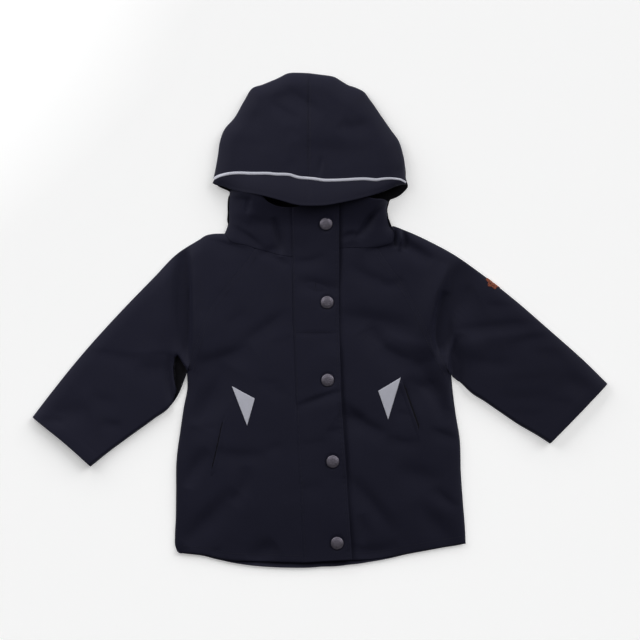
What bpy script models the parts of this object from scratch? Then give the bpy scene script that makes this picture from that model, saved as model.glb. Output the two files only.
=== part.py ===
"""A small child's hooded raincoat, lying on its back with its fronts up and its hood folded forward.

X runs across the coat, Y from the hem to the hood, and Z up from the surface that the coat lies on.
The origin is on that surface, under the middle of the coat's outline. Tables and helpers work in
millimetres. Right and left in the pieces' names are the wearer's, so the right front is at -X.

Each piece of cloth is an open surface, its outer face, and a Solidify modifier gives it its wall.
"""

import bpy
import numpy as np

MM = 0.001

# Walls and clearances, in millimetres
WALL = 1.5  # shell cloth and lining together
FLAP_WALL = 1.6  # the storm flap, two layers of shell cloth
BRIM_WALL = 2.4  # the stiffened peak
TRIM_WALL = 1.0  # welts, piping and reflective pieces
SEAM = 0.5  # between two pieces that are sewn edge to edge
LAY = 0.45  # between a panel and a piece that lies on it

# Heights above the surface, in millimetres, of outer faces
COAT_TOP = 6.0  # front layer of the body, the sleeves and the collar
LOWEST_TOP = 2 * WALL + 0.5  # a trough comes down to just above the back layer
HIGHEST_TOP = 2 * WALL + 3.8
EDGE_TOP = 2 * WALL + 0.6  # at a side seam, a hem and the collar's sides
EDGE_ROUND = 7.0  # how far in from such an edge the cloth reaches its full height
FLAP_DIP = 1.8  # the layer under the storm flap lies this much lower
HOOD_FOLD = 4.0  # radius of the fold at the hood's sides and crown
HOOD_CORNER = 0.36  # share of a hood half's front edge, from its corner, that its rows run beside
HOOD_PUFF = 13.0  # rise of the hood from its folds to its middle
HOOD_PUFF_REACH = 34.0  # distance from the fold over which most of that rise comes
SEAM_DIP = 0.6  # a sewn seam pulls the cloth down this much
SEAM_DIP_REACH = 5.0

SNAP_DIAMETER = 16.0
SNAP_HEIGHT = 2.7
SNAP_STEPS = 16
PIPING_WIDTH = 4.2
PIPING_PROUD = 0.5
WELT_WIDTH = 6.0
SLEEVE_NECK = 0.2  # share of a sleeve's width that its stretch of the neck seam takes
FRONT_RAGLAN = 0.55  # share of a front's width that its raglan seam takes
COLLAR_RAGLAN = 0.45  # share of a collar front's width that lies above the sleeve
RAGLAN_STOPS = np.linspace(0, 1, 10)  # shares of a raglan seam where both of its pieces have a point
BACK_RAGLAN_STOPS = np.linspace(0, 1, 7)
MIDDLE_SHARES = np.array([0.14, 0.3, 0.65, 1.0])  # shares of the way under the flap to the coat's middle line

# Distances in from an edge where its rounding is resolved, in millimetres
SLEEVE_FOLD_POINTS = (0.0, 0.3, 1.2, 3.0)
HOOD_FOLD_POINTS = (0.0, 0.3, 1.2, 2.5)
EDGE_POINTS = (0.0, 1.0, 3.0, 7.0)

# Outlines, each row (x, y) in millimetres

HOOD_CREST_X = -13.8  # the hood's centre seam
HOOD_CREST = (HOOD_CREST_X, 309.4)
HOOD_FOLD_RIGHT = [
    (-133.4, 179.4), (-130, 192.5), (-127.5, 207.5), (-125, 222.5), (-120, 237.5), (-107.5, 252.5),
    (-94, 275), (-84, 290), (-65, 297.5), (-47.5, 305), (-32, 308.4), HOOD_CREST,
]
HOOD_FOLD_LEFT = [
    (107.6, 175), (106, 192.5), (102.5, 207.5), (97.5, 222.5), (87.5, 237.5), (77.5, 252.5),
    (61.2, 275), (46.2, 290), (27.5, 297.5), (15, 305), (0, 308.6), HOOD_CREST,
]
HOOD_BACK_SIDE_RIGHT = [(-133.4, 179.4), (-127, 167), (-114, 159), (-113.8, 135), (-113.8, 118), (-118.6, 109)]
HOOD_BACK_SIDE_LEFT = [(107.6, 175), (107.8, 166), (96, 155), (85.5, 147), (85.3, 135), (85.6, 123), (91, 118)]
PIPING_LINE = [
    (-133.2, 176.8), (-124, 182), (-105, 184.6), (-76, 183.8), (-47.5, 183), (-32.5, 180.5), (0, 175.6),
    (19, 174.8), (57.5, 176), (86, 176.6), (107.4, 172.4),
]
BRIM_EDGE = [
    (-133.8, 170), (-113.8, 160.5), (-86, 156.6), (-55, 149), (-28.8, 143.8), (-9.4, 142.3), (25, 146.3),
    (67.5, 157.5), (86, 164.5), (104.5, 168),
]
COLLAR_TOP_RIGHT = [(-113.8, 157), (-90, 153), (-70, 147), (-48, 143.5), (-36, 144)]
COLLAR_TOP_LEFT = [(85.3, 146), (76, 152), (55, 154), (40, 152), (24, 149)]
COLLAR_SIDE_RIGHT = [(-113.8, 157), (-113.8, 135), (-113.8, 118), (-118.6, 109)]
COLLAR_SIDE_LEFT = [(85.3, 146), (85.3, 135), (86, 124), (91, 117), (95.2, 108)]
NECK_TO_RAGLAN_RIGHT = [(-119, 108.6), (-110, 96.5), (-95, 93.5), (-81, 89)]
NECK_TO_RAGLAN_LEFT = [(91.8, 117), (95.5, 108), (93, 98), (84, 93), (72.5, 90)]
NECK_TO_FLAP_RIGHT = [(-81, 89), (-62, 84), (-48, 80.5), (-35, 78.5)]
NECK_TO_FLAP_LEFT = [(72.5, 90), (55, 89.5), (40, 90), (23.8, 89)]
BACK_NECK_RIGHT = [(-119, 108.6), (-95, 104.5), (-70, 101.5)]
BACK_NECK_LEFT = [(91.8, 117), (70, 109.5), (45, 103)]
BACK_NECK_MIDDLE = [(-70, 101.5), (-40, 99), (-13.8, 98), (15, 99), (45, 103)]
RAGLAN_RIGHT = [(-81, 89), (-90, 76), (-114, 47.5), (-139, 12.5), (-154, -25), (-165.4, -64)]
RAGLAN_LEFT = [(72.5, 90), (88, 67), (104, 45), (118, 22), (131, -5), (144, -34), (163, -68)]
BACK_RAGLAN_RIGHT = [(-70, 101.5), (-92, 75), (-120, 35), (-142, -5), (-157, -40), (-165.4, -64)]
BACK_RAGLAN_LEFT = [(45, 103), (70, 72), (97, 35), (122, -5), (145, -42), (163, -68)]
SIDE_SEAM_RIGHT = [
    (-165.4, -64), (-166.5, -85), (-170, -107.5), (-175, -137.5), (-179, -175), (-180, -215),
    (-180.4, -250), (-181.2, -272.5), (-179.4, -288.4),
]
SIDE_SEAM_LEFT = [
    (163, -68), (165, -92), (168.5, -118), (172.5, -150), (175.5, -190), (178, -232), (180.6, -262),
    (181.6, -278.8),
]
HEM_FRONT_RIGHT = [
    (-179.4, -288.4), (-162.5, -291.2), (-147.5, -293.6), (-132.5, -297), (-117.5, -300.4), (-100, -302.6),
    (-75, -304), (-45, -304.4), (-21, -304.2),
]
HEM_FRONT_LEFT = [
    (181.6, -278.8), (167.5, -281.3), (137.5, -286.4), (107.5, -292.4), (88, -296), (60, -298.6), (39.6, -300.4),
]
HEM_BACK = [
    (-179.4, -288.4), (-162.5, -291.3), (-147.5, -293.8), (-132.5, -297.4), (-117.5, -301.3),
    (-102.5, -304), (-87.5, -306.2), (-57.5, -308.2), (-12.5, -309.4), (17.5, -308.4), (47.5, -304.6),
    (77.5, -298.8), (107.5, -292.5), (137.5, -286.5), (167.5, -281.4), (181.6, -278.8),
]
SLEEVE_TOP_RIGHT = [
    (-119, 108.6), (-134, 107), (-150, 101), (-178, 83), (-207.5, 54), (-252.5, 7.5), (-297.5, -42.5),
    (-340, -96), (-358.7, -121.5),
]
SLEEVE_TOP_LEFT = [
    (91.8, 117), (107.5, 111), (137.5, 97.5), (167.5, 81.3), (197.5, 60), (242.5, 25), (287.5, -13.5),
    (332.5, -53.8), (358.7, -80),
]
SLEEVE_UNDER_RIGHT = [
    (-165.4, -64), (-170, -77), (-178.5, -92.5), (-188.7, -107.5), (-207.5, -122.5), (-240, -146),
    (-265, -164.5), (-286.9, -182),
]
SLEEVE_UNDER_LEFT = [
    (163, -68), (175, -77.5), (191, -92.5), (203.7, -100), (226, -115), (247.5, -130), (273.7, -145),
    (287.5, -155),
]
CUFF_RIGHT = [(-358.7, -121.5), (-323, -152), (-286.9, -182)]
CUFF_LEFT = [(358.7, -80), (323, -117.5), (287.5, -155)]

# Storm flap, each row (y, x of its sewn edge, x of its free edge)
FLAP_EDGES = [
    (150, -35.6, 23.8), (80, -35, 23.8), (0, -34, 23.8), (-50, -32, 25.2), (-110, -30, 27),
    (-163, -27.6, 31), (-215, -24.8, 34.4), (-262, -22.6, 37.4), (-300, -21, 39.8),
]
FLAP_TOP_Y = 150.0
FLAP_HEM_Y = -301.6
FLAP_HEM_SLANT = 0.06  # rise of its lower edge for each millimetre towards its free edge
FLAP_HEM_REACH = 60.0  # height over which the rows turn to that slant

# Height of the brim's outer face along its free edge, each row (x, z)
BRIM_EDGE_HEIGHT = [
    (-133.8, 7), (-118, 10.5), (-90, 14), (-60, 15), (-30, 13.6), (-8, 12), (25, 11.2), (60, 11.6), (86, 11.4),
    (100, 9), (108.6, 6.5),
]

# Largest folds of the cloth, each row (x0, y0, x1, y1, half width, height); a trough has a height below 0
FOLDS = [
    (-150, -46, -106, -36, 15, -1.8),
    (-106, -36, -46, 14, 15, -1.8),
    (38, 22, 100, -1, 15, -1.6),
    (72, -22, 138, -42, 16, -1.7),
    (-26, -106, 18, -94, 22, -0.7),
    (43, -118, 72, -138, 16, -1.5),
    (-103, -213, -160, -261, 18, -2.0),
    (-78, -277, -70, -284, 16, -1.2),
    (50, -201, 90, -244, 18, -1.6),
    (170, 72, 152, -19, 16, -2.2),
    (-172, 79, -166, -14, 18, -2.0),
    (175, -12, 254, -6, 16, -1.6),
    (196, -53, 221, -43, 14, -1.5),
    (-180, -42, -172, -66, 12, -1.4),
    (65, 127, 48, 106, 12, -1.8),
    (88, 118, 96, 100, 9, -1.6),
    (-106, 115, -70, 88, 14, -1.5),
    (-250, -60, -225, -100, 18, -1.2),
    (250, -70, 280, -110, 18, -1.2),
]
HOOD_FOLDS = [
    (-32, 288, -12, 250, 16, -1.6),
    (-14, 250, -8, 214, 18, -1.2),
    (20, 226, 44, 246, 22, -1.5),
    (-96, 236, -60, 262, 18, 1.0),
    (4, 196, 18, 184, 14, -1.0),
]

# Snap caps down the flap, each row (x, y)
SNAPS = [(7.5, 120.6), (8.9, 22.0), (9.5, -75.0), (15.9, -176.5), (21.4, -278.4)]

# Pocket mouths, each row (x, y) of the upper end, (x, y) of the lower end
POCKET_RIGHT = ((-112.5, -98.0), (-136.4, -195.0))
POCKET_LEFT = ((103.2, -87.0), (130.0, -187.5))
REFLECTOR_RIGHT = ((-110.0, -82.5), (-81.3, -98.0), (-90.9, -131.6))
REFLECTOR_LEFT = ((100.8, -71.6), (72.5, -88.4), (85.0, -124.0))

# Colours (linear), roughness and metallic of each material
MATERIALS = {
    "navy_shell": ((0.0125, 0.0130, 0.0240), 0.72, 0.0),
    "navy_brim": ((0.0140, 0.0145, 0.0270), 0.70, 0.0),
    "reflective_grey": ((0.33, 0.33, 0.38), 0.45, 0.0),
    "gunmetal": ((0.125, 0.115, 0.145), 0.38, 0.85),
}


# Curves: each is an array of closely spaced (x, y) points


def spline(table, samples=24):
    """A smooth curve through the table's rows: cubic pieces whose slopes come from both neighbours."""
    points = np.array(table, float)
    steps = np.linalg.norm(np.diff(points, axis=0), axis=1)
    chords = np.diff(points, axis=0) / steps[:, None]
    slopes = np.vstack([chords[:1], chords[:-1], chords[-1:]])
    before, after = steps[:-1, None], steps[1:, None]
    slopes[1:-1] = (chords[:-1] * after + chords[1:] * before) / (before + after)
    t = np.linspace(0, 1, samples, endpoint=False)[None, :, None]
    start, end, step = points[:-1, None], points[1:, None], steps[:, None, None]
    curve = (
        (2 * t**3 - 3 * t**2 + 1) * start
        + (t**3 - 2 * t**2 + t) * step * slopes[:-1, None]
        + (3 * t**2 - 2 * t**3) * end
        + (t**3 - t**2) * step * slopes[1:, None]
    )
    return np.vstack([curve.reshape(-1, 2), points[-1:]])


def lengths(curve):
    return np.concatenate([[0.0], np.cumsum(np.linalg.norm(np.diff(curve, axis=0), axis=1))])


def at(curve, share):
    """The points at these shares of the curve's length."""
    run = lengths(curve)
    where = np.asarray(share) * run[-1]
    return np.stack([np.interp(where, run, curve[:, 0]), np.interp(where, run, curve[:, 1])], axis=-1)


def offset(curve, distance):
    """The curve moved to the left of its own direction."""
    ahead = np.gradient(curve, axis=0)
    ahead /= np.linalg.norm(ahead, axis=1)[:, None]
    return curve + distance * np.stack([-ahead[:, 1], ahead[:, 0]], axis=1)


def joined(first, second, share, distance):
    """Two curves end to end, moved to their left, as a function of 0 to 1 that meets their corner at share."""
    both = offset(np.vstack([first, second[1:]]), distance)
    first, second = both[: len(first)], both[len(first) - 1 :]

    def where(u):
        u = np.asarray(u, float)[..., None]
        return np.where(
            u <= share,
            at(first, np.clip(u[..., 0] / share, 0, 1)),
            at(second, np.clip((u[..., 0] - share) / (1 - share), 0, 1)),
        )

    return where


def single(curve):
    return lambda u: at(curve, u)


def patch(u, v, low, high, left, right):
    """A Coons patch: four boundary curves blended over u (left to right) and v (low to high)."""
    u, v = np.broadcast_arrays(u, v)
    a, b = u[..., None], v[..., None]
    corners = (
        (1 - a) * (1 - b) * low(0.0) + a * (1 - b) * low(1.0) + (1 - a) * b * high(0.0) + a * b * high(1.0)
    )
    return (1 - b) * low(u) + b * high(u) + (1 - a) * left(v) + a * right(v) - corners


def distance_to(curve, xy):
    """How far each point lies from the nearest point of a curve."""
    shape = xy.shape[:-1]
    flat = xy.reshape(-1, 1, 2)
    return np.sqrt(((flat - curve[None]) ** 2).sum(axis=2).min(axis=1)).reshape(shape)


# Heights


def folds(table, xy):
    """The sum of soft troughs and ridges, each a bell-shaped section swept along a straight run."""
    x, y = xy[..., 0], xy[..., 1]
    total = np.zeros(x.shape)
    for x0, y0, x1, y1, half_width, height in table:
        run_x, run_y = x1 - x0, y1 - y0
        t = np.clip(((x - x0) * run_x + (y - y0) * run_y) / (run_x**2 + run_y**2), 0, 1)
        away = (x - x0 - t * run_x) ** 2 + (y - y0 - t * run_y) ** 2
        total += height * np.exp(-away / half_width**2)
    return total


def flap_x(y, edge):
    """The flap's sewn edge (1) or free edge (2) at this y."""
    table = np.array(sorted(FLAP_EDGES))
    return np.interp(y, table[:, 0], table[:, edge])


def step(value, start, end):
    """0 before start, 1 after end, and a smooth change between them."""
    t = np.clip((value - start) / (end - start), 0, 1)
    return t * t * (3 - 2 * t)


def coat_top(xy):
    """Height of the outer face of the front layer: folds, seams pulled in, and a dip under the flap."""
    x, y = xy[..., 0], xy[..., 1]
    z = COAT_TOP + folds(FOLDS, xy)
    for seam in SEAM_LINES:
        z = z - SEAM_DIP * np.exp(-((distance_to(seam, xy) / SEAM_DIP_REACH) ** 2))
    under = step(x, flap_x(y, 1) - 4, flap_x(y, 1) + 4) * (1 - step(x, flap_x(y, 2) + 1, flap_x(y, 2) + 15))
    return np.clip(z - FLAP_DIP * under, LOWEST_TOP, HIGHEST_TOP)


def rounded_edge(z, away, lowest=EDGE_TOP, reach=EDGE_ROUND):
    """The height z brought down to the lowest along a quarter ellipse, over the last stretch to an edge."""
    inward = 1 - np.clip(away / reach, 0, 1)
    return lowest + (z - lowest) * np.sqrt(1 - inward**2)


def hood_top(xy):
    """Height of the outer face of the hood's upper layer: it leaves its fold in an arc and then swells."""
    away = distance_to(HOOD_OUTLINE, xy)
    inward = np.clip(HOOD_FOLD - away, 0, HOOD_FOLD)
    arc = HOOD_FOLD + np.sqrt(HOOD_FOLD**2 - inward**2)
    swell = HOOD_PUFF * (1 - np.exp(-((away / HOOD_PUFF_REACH) ** 2)))
    return arc + swell + folds(HOOD_FOLDS, xy) * (1 - np.exp(-((away / 20) ** 2)))


def raised(xy, z):
    return np.concatenate([xy, np.broadcast_to(z, xy.shape[:-1])[..., None]], axis=-1)


# Blender objects


def clear_scene():
    for old in list(bpy.data.objects):
        bpy.data.objects.remove(old, do_unlink=True)


def make_material(name):
    colour, roughness, metallic = MATERIALS[name]
    material = bpy.data.materials.new(name)
    material.use_nodes = True
    shader = material.node_tree.nodes["Principled BSDF"]
    shader.inputs["Base Color"].default_value = (*colour, 1.0)
    shader.inputs["Roughness"].default_value = roughness
    shader.inputs["Metallic"].default_value = metallic
    return material


def place(obj, material):
    obj.data.materials.append(PALETTE[material])
    COAT.objects.link(obj)
    return obj


def cloth(name, grid, wall, material="navy_shell", ring=False):
    """An open surface through a grid of points in millimetres, with its wall added on its inner side.

    The outer face looks up where it is above the middle of the piece's height, and down below it.
    With ring, the last column joins the first, which makes a tube with open ends.
    """
    rows, columns = grid.shape[:2]
    number = np.arange(rows * columns).reshape(rows, columns)
    across = np.roll(number, -1, axis=1) if ring else number[:, 1:]
    here = number if ring else number[:, :-1]
    quads = np.stack([here[:-1], across[:-1], across[1:], here[1:]], axis=-1).reshape(-1, 4)
    points = grid.reshape(-1, 3)
    corner = points[quads]
    facing = np.cross(corner[:, 2] - corner[:, 0], corner[:, 3] - corner[:, 1])[:, 2]
    middle = (points[:, 2].min() + points[:, 2].max()) / 2
    above = np.where(corner[:, :, 2].mean(axis=1) > min(middle, COAT_TOP / 2), 1.0, -1.0)
    if (facing * above).sum() < 0:
        quads = quads[:, ::-1]
    mesh = bpy.data.meshes.new(name)
    mesh.from_pydata((points * MM).tolist(), [], quads.tolist())
    mesh.shade_smooth()
    obj = place(bpy.data.objects.new(name, mesh), material)
    solidify = obj.modifiers.new("wall", "SOLIDIFY")
    solidify.thickness = wall * MM
    solidify.offset = -1.0
    solidify.use_quality_normals = True
    return obj


def flat_cloth(name, outline, wall, material="navy_shell"):
    """A flat panel on the surface: a filled outline, half the wall extruded to each side."""
    curve = bpy.data.curves.new(name, "CURVE")
    curve.dimensions = "2D"
    curve.fill_mode = "BOTH"
    curve.extrude = wall / 2 * MM
    ring = curve.splines.new("POLY")
    ring.points.add(len(outline) - 1)
    for point, (x, y) in zip(ring.points, outline):
        point.co = (x * MM, y * MM, 0.0, 1.0)
    ring.use_cyclic_u = True
    obj = place(bpy.data.objects.new(name, curve), material)
    obj.location.z = wall / 2 * MM
    return obj


# Pieces


def back_panel():
    """The back: flat on the surface, from hem to neck, between the side seams and the back raglan seams."""
    clear = SEAM / 2
    sides = [
        at(spline(HEM_BACK), np.linspace(0, 1, 34)),
        at(spline(SIDE_SEAM_LEFT[::-1]), np.linspace(0, 1, 14))[1:],
        at(offset(spline(BACK_RAGLAN_LEFT[::-1]), clear), BACK_RAGLAN_STOPS),
        at(offset(spline(BACK_NECK_MIDDLE[::-1]), clear), np.linspace(0.01, 0.99, 10)),
        at(offset(spline(BACK_RAGLAN_RIGHT), clear), BACK_RAGLAN_STOPS),
        at(spline(SIDE_SEAM_RIGHT), np.linspace(0, 1, 14))[1:-1],
    ]
    flat_cloth("back_panel", np.vstack(sides), WALL)


def near_edge(points, length, count, end=True):
    """Shares of a length: close together near its start, and near its end too, then even between them."""
    start = np.array(points) / length
    last = 1 - start[::-1] if end else np.array([1.0])
    return np.concatenate([start, np.linspace(start[-1], last[0], count + 2)[1:-1], last])


def to_middle(xy, inner):
    """The grid with columns added under the flap, up to half a seam's clearance from the coat's middle line."""
    edge = xy[:, -1:]
    middle_x = (flap_x(edge[..., 1], 1) + flap_x(edge[..., 1], 2)) / 2 - SEAM / 2 * inner
    shares = MIDDLE_SHARES[None, :, None]
    strip = edge * (1 - shares) + np.stack([middle_x, edge[..., 1]], axis=-1) * shares
    return np.concatenate([xy, strip], axis=1)


def front_panel(name, side_seam, raglan, neck, hem, flap_edge, inner):
    """One front: from the side seam and raglan seam to the middle line under the flap.

    flap_edge picks the edge of the flap that lies over it, and inner is 1 where +X leads to the middle.
    """
    clear = SEAM / 2
    upper_end = joined(raglan[::-1], neck, FRONT_RAGLAN, -clear * inner)
    flap_line = np.stack([flap_x(FLAP_ROWS, flap_edge), FLAP_ROWS], axis=1)
    flap_line = flap_line[(flap_line[:, 1] < upper_end(1.0)[1]) & (flap_line[:, 1] > hem[-1, 1])]
    flap_line = np.vstack([upper_end(1.0), flap_line, hem[-1]])
    along = np.concatenate([[0.0, 0.02], near_edge(EDGE_POINTS, lengths(flap_line)[-1], 18)[4:]])
    across = np.concatenate([
        np.array(EDGE_POINTS) / lengths(hem)[-1],
        FRONT_RAGLAN * RAGLAN_STOPS[1:],
        np.linspace(FRONT_RAGLAN, 1, 6)[1:],
    ])
    u, v = np.meshgrid(across, along)
    xy = patch(u, v, upper_end, single(hem), single(side_seam), single(flap_line))
    xy = to_middle(xy, inner)
    z = rounded_edge(coat_top(xy), distance_to(side_seam, xy))
    z = rounded_edge(z, distance_to(hem, xy))
    cloth(name, raised(xy, z), WALL)


def collar(name, side, top, necks, flap_edge, inner):
    """One front of the stand: from its side over the hood's back layer to the middle under the flap."""
    clear = SEAM / 2
    start = np.argmin(np.linalg.norm(necks[0] - side[-1], axis=1))
    neck = joined(necks[0][start:], necks[1], COLLAR_RAGLAN, clear * inner)
    right = np.vstack([top[-1:], neck(1.0)[None]])
    across = near_edge(EDGE_POINTS, lengths(top)[-1], 8, end=False)
    u, v = np.meshgrid(across, np.linspace(0, 1, 12))
    xy = patch(u, v, single(top), neck, single(side), single(right))
    xy = to_middle(xy, inner)
    cloth(name, raised(xy, rounded_edge(coat_top(xy), distance_to(side, xy))), WALL)


def storm_flap():
    """The flap over the front opening, lying on both fronts and on both collar fronts."""
    y = np.linspace(FLAP_TOP_Y, FLAP_HEM_Y, 34)
    sewn, free = flap_x(y, 1) + SEAM, flap_x(y, 2)
    shares = np.array([0.0, 0.07, 0.16, 0.45, 0.75, 1.0])
    x = sewn[:, None] * (1 - shares) + free[:, None] * shares
    slant = FLAP_HEM_SLANT * step(-y, -FLAP_HEM_Y - FLAP_HEM_REACH, -FLAP_HEM_Y)
    xy = np.stack([x, y[:, None] + (x - sewn[:, None]) * slant[:, None]], axis=-1)
    cloth("storm_flap", raised(xy, coat_top(xy) + LAY + FLAP_WALL), FLAP_WALL)


def shared_stops(stops):
    """Shares across a sleeve's layer of the points that it shares with a raglan seam, without the last."""
    return SLEEVE_NECK + (1 - SLEEVE_NECK) * stops[:-1]


def sleeve(name, neck, back_neck, raglan, back_raglan, top_fold, under_fold, cuff, inner):
    """A raglan sleeve: one flattened tube, its rings running from the raglan seams to the cuff.

    Each ring has an upper layer and a lower layer, which meet in an arc at the top fold and at the
    underarm seam.
    """
    clear = -SEAM / 2 * inner
    upper_end = joined(neck, raglan, SLEEVE_NECK, clear)
    lower_end = joined(back_neck, back_raglan, SLEEVE_NECK, clear)
    upper_stops = np.append(SLEEVE_NECK * np.array([0.25, 0.4, 0.55, 0.75]), shared_stops(RAGLAN_STOPS))
    lower_stops = np.append(SLEEVE_NECK * np.array([0.4, 0.7]), shared_stops(BACK_RAGLAN_STOPS))
    rings = np.concatenate([np.linspace(0, 0.3, 6), np.linspace(0.3, 1, 10)[1:]])[:, None]
    widths = (1 - rings) * (lengths(neck)[-1] + lengths(raglan)[-1]) + rings * lengths(cuff)[-1]
    layers = []
    for end, middle, side in ((upper_end, upper_stops, 1), (lower_end, lower_stops, -1)):
        near = np.array(SLEEVE_FOLD_POINTS) / widths
        u = np.hstack([near, np.broadcast_to(middle, (len(rings), len(middle))), 1 - near[:, ::-1]])
        xy = patch(u, rings, end, single(cuff), single(top_fold), single(under_fold))
        radius = coat_top(xy) / 2
        away = np.minimum(u, 1 - u) * widths
        layers.append(raised(xy, radius * (1 + side * np.sqrt(1 - np.clip(1 - away / radius, 0, 1) ** 2))))
    around = [layers[0], layers[1][:, -2:0:-1]]
    cloth(name, np.concatenate(around, axis=1), WALL, ring=True)


def to_crest(curve, inner):
    """The part of a curve on one side of the hood's centre seam, ending half a seam's clearance from it."""
    end_x = HOOD_CREST_X - SEAM / 2 * inner
    kept = curve[curve[:, 0] * inner < end_x * inner]
    across = curve[len(kept)]
    share = (end_x - kept[-1, 0]) / (across[0] - kept[-1, 0])
    return np.vstack([kept, kept[-1:] * (1 - share) + across[None] * share])


def hood_half(name, fold, piping, back_side, neck, inner):
    """Half of the hood: a surface from the piping up over the fold and along the surface to the neck.

    Its rows start at points along the fold, from the brim's corner to the crown, and each row runs
    inwards on the upper layer and inwards on the lower one.
    """
    clear = SEAM / 2
    fold = fold - [clear * inner, 0]
    crest = fold[-1]
    neck = neck + [0, clear]
    edge = piping + [0, PIPING_WIDTH / 2 + SEAM]
    edge = np.vstack([fold[:1], edge[lengths(edge) > HOOD_FOLD]])
    run = lengths(edge) / lengths(edge)[-1]
    from_corner, along_edge = edge[run <= HOOD_CORNER], edge[run >= HOOD_CORNER]
    along_edge = np.vstack([from_corner[-1:], along_edge])
    upper_middle = np.vstack([crest, along_edge[-1]])
    lower_middle = np.vstack([crest, neck[-1]])
    stations = np.concatenate([[0, 0.025], np.linspace(0.06, 1, 15)])[:, None]

    upper_run = lengths(from_corner)[-1] * (1 - stations) + lengths(upper_middle)[-1] * stations
    lower_run = lengths(back_side)[-1] * (1 - stations) + lengths(lower_middle)[-1] * stations
    u_upper = np.array([near_edge(HOOD_FOLD_POINTS + (HOOD_FOLD, 8.0), run, 8, end=False) for run in upper_run[:, 0]])
    u_lower = np.array([near_edge(HOOD_FOLD_POINTS + (HOOD_FOLD,), run, 7, end=False) for run in lower_run[:, 0]])
    upper = patch(
        stations, u_upper, single(fold), single(along_edge), single(from_corner), single(upper_middle)
    )
    lower = patch(stations, u_lower, single(fold), single(neck), single(back_side), single(lower_middle))
    away = np.minimum(u_lower * lower_run, HOOD_FOLD)
    lower_z = HOOD_FOLD - np.sqrt(HOOD_FOLD**2 - (HOOD_FOLD - away) ** 2)
    upper_z = hood_top(upper)
    upper_z[:, 0] = HOOD_FOLD
    rows = [raised(upper, upper_z)[:, ::-1], raised(lower, lower_z)[:, 1:]]
    cloth(name, np.concatenate(rows, axis=1), WALL)


def hood_piping():
    """The reflective piping, sewn between the hood's front edge and its brim."""
    line = spline(PIPING_LINE)
    share = near_edge(HOOD_FOLD_POINTS, lengths(line)[-1], 34)
    sides = [at(offset(line, away), share) for away in np.array([0.5, 0.0, -0.5]) * PIPING_WIDTH]
    xy = np.stack(sides, axis=1)
    crown = np.array([0.0, PIPING_PROUD, 0.0])
    cloth("hood_piping", raised(xy, hood_top(xy) + crown), WALL, "reflective_grey")


def hood_brim():
    """The stiffened brim, from the piping down to its free edge over the collar."""
    edge = spline(BRIM_EDGE)
    top = offset(spline(PIPING_LINE), -PIPING_WIDTH / 2 - SEAM)
    top = top[top[:, 0] < edge[-1, 0]]
    share = near_edge(HOOD_FOLD_POINTS + (HOOD_FOLD,), lengths(top)[-1], 26)
    u, v = np.meshgrid(share, np.linspace(0, 1, 6))
    left, right = np.vstack([top[:1], edge[:1]]), np.vstack([top[-1:], edge[-1:]])
    xy = patch(u, v, single(top), single(edge), single(left), single(right))
    at_piping = hood_top(xy[:1])
    table = np.array(BRIM_EDGE_HEIGHT)
    at_edge = np.minimum(np.interp(xy[-1:, :, 0], table[:, 0], table[:, 1]), at_piping)
    cloth("hood_brim", raised(xy, at_piping * (1 - v) + at_edge * v), BRIM_WALL, "navy_brim")


def on_panel(xy, wall):
    """Points of a piece that lies on the front layer, at its outer face."""
    return raised(xy, coat_top(xy) + LAY + wall)


def pocket_welt(name, mouth, inner):
    """A narrow welt beside the pocket's mouth, on the side towards the front opening."""
    upper, lower = np.array(mouth)
    along = np.linspace(0, 1, 14)[:, None, None]
    across = np.array([0.0, 0.5, 1.0])[None, :, None] * [WELT_WIDTH * inner, 0]
    cloth(name, on_panel(upper * (1 - along) + lower * along + across, TRIM_WALL), TRIM_WALL)


def reflector(name, corners):
    """A reflective triangle at the top of a pocket: rows that narrow from its top edge to its lowest tip."""
    outer, inner, tip = np.array(corners)
    v = np.array([0.0, 0.2, 0.4, 0.6, 0.8, 0.97])[:, None, None]
    u = np.linspace(0, 1, 5)[None, :, None]
    xy = (outer * (1 - u) + inner * u) * (1 - v) + tip * v
    cloth(name, on_panel(xy, TRIM_WALL), TRIM_WALL, "reflective_grey")


def snap_cap(name, x, y):
    """A domed snap cap with a rolled rim: a profile from its top to its flat underside, turned round."""
    radius, height = SNAP_DIAMETER / 2, SNAP_HEIGHT
    profile = [
        (0, height), (0.30 * radius, 0.97 * height), (0.58 * radius, 0.84 * height), (0.76 * radius, 0.62 * height),
        (0.84 * radius, 0.66 * height), (0.95 * radius, 0.58 * height), (radius, 0.32 * height),
        (0.95 * radius, 0.04 * height), (0.88 * radius, 0), (0, 0),
    ]
    mesh = bpy.data.meshes.new(name)
    links = [(i, i + 1) for i in range(len(profile) - 1)]
    mesh.from_pydata([(r * MM, 0.0, z * MM) for r, z in profile], links, [])
    obj = place(bpy.data.objects.new(name, mesh), "gunmetal")
    spot = np.array([[x, y]], float)
    obj.location = (x * MM, y * MM, (float(coat_top(spot)[0]) + 2 * LAY + FLAP_WALL) * MM)
    turn = obj.modifiers.new("turned", "SCREW")
    turn.steps = turn.render_steps = SNAP_STEPS
    turn.use_merge_vertices = True
    turn.merge_threshold = 0.00001
    turn.use_smooth_shade = True
    return obj


clear_scene()
COAT = bpy.data.collections.new("kids_raincoat")
bpy.context.scene.collection.children.link(COAT)
PALETTE = {name: make_material(name) for name in MATERIALS}

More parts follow.
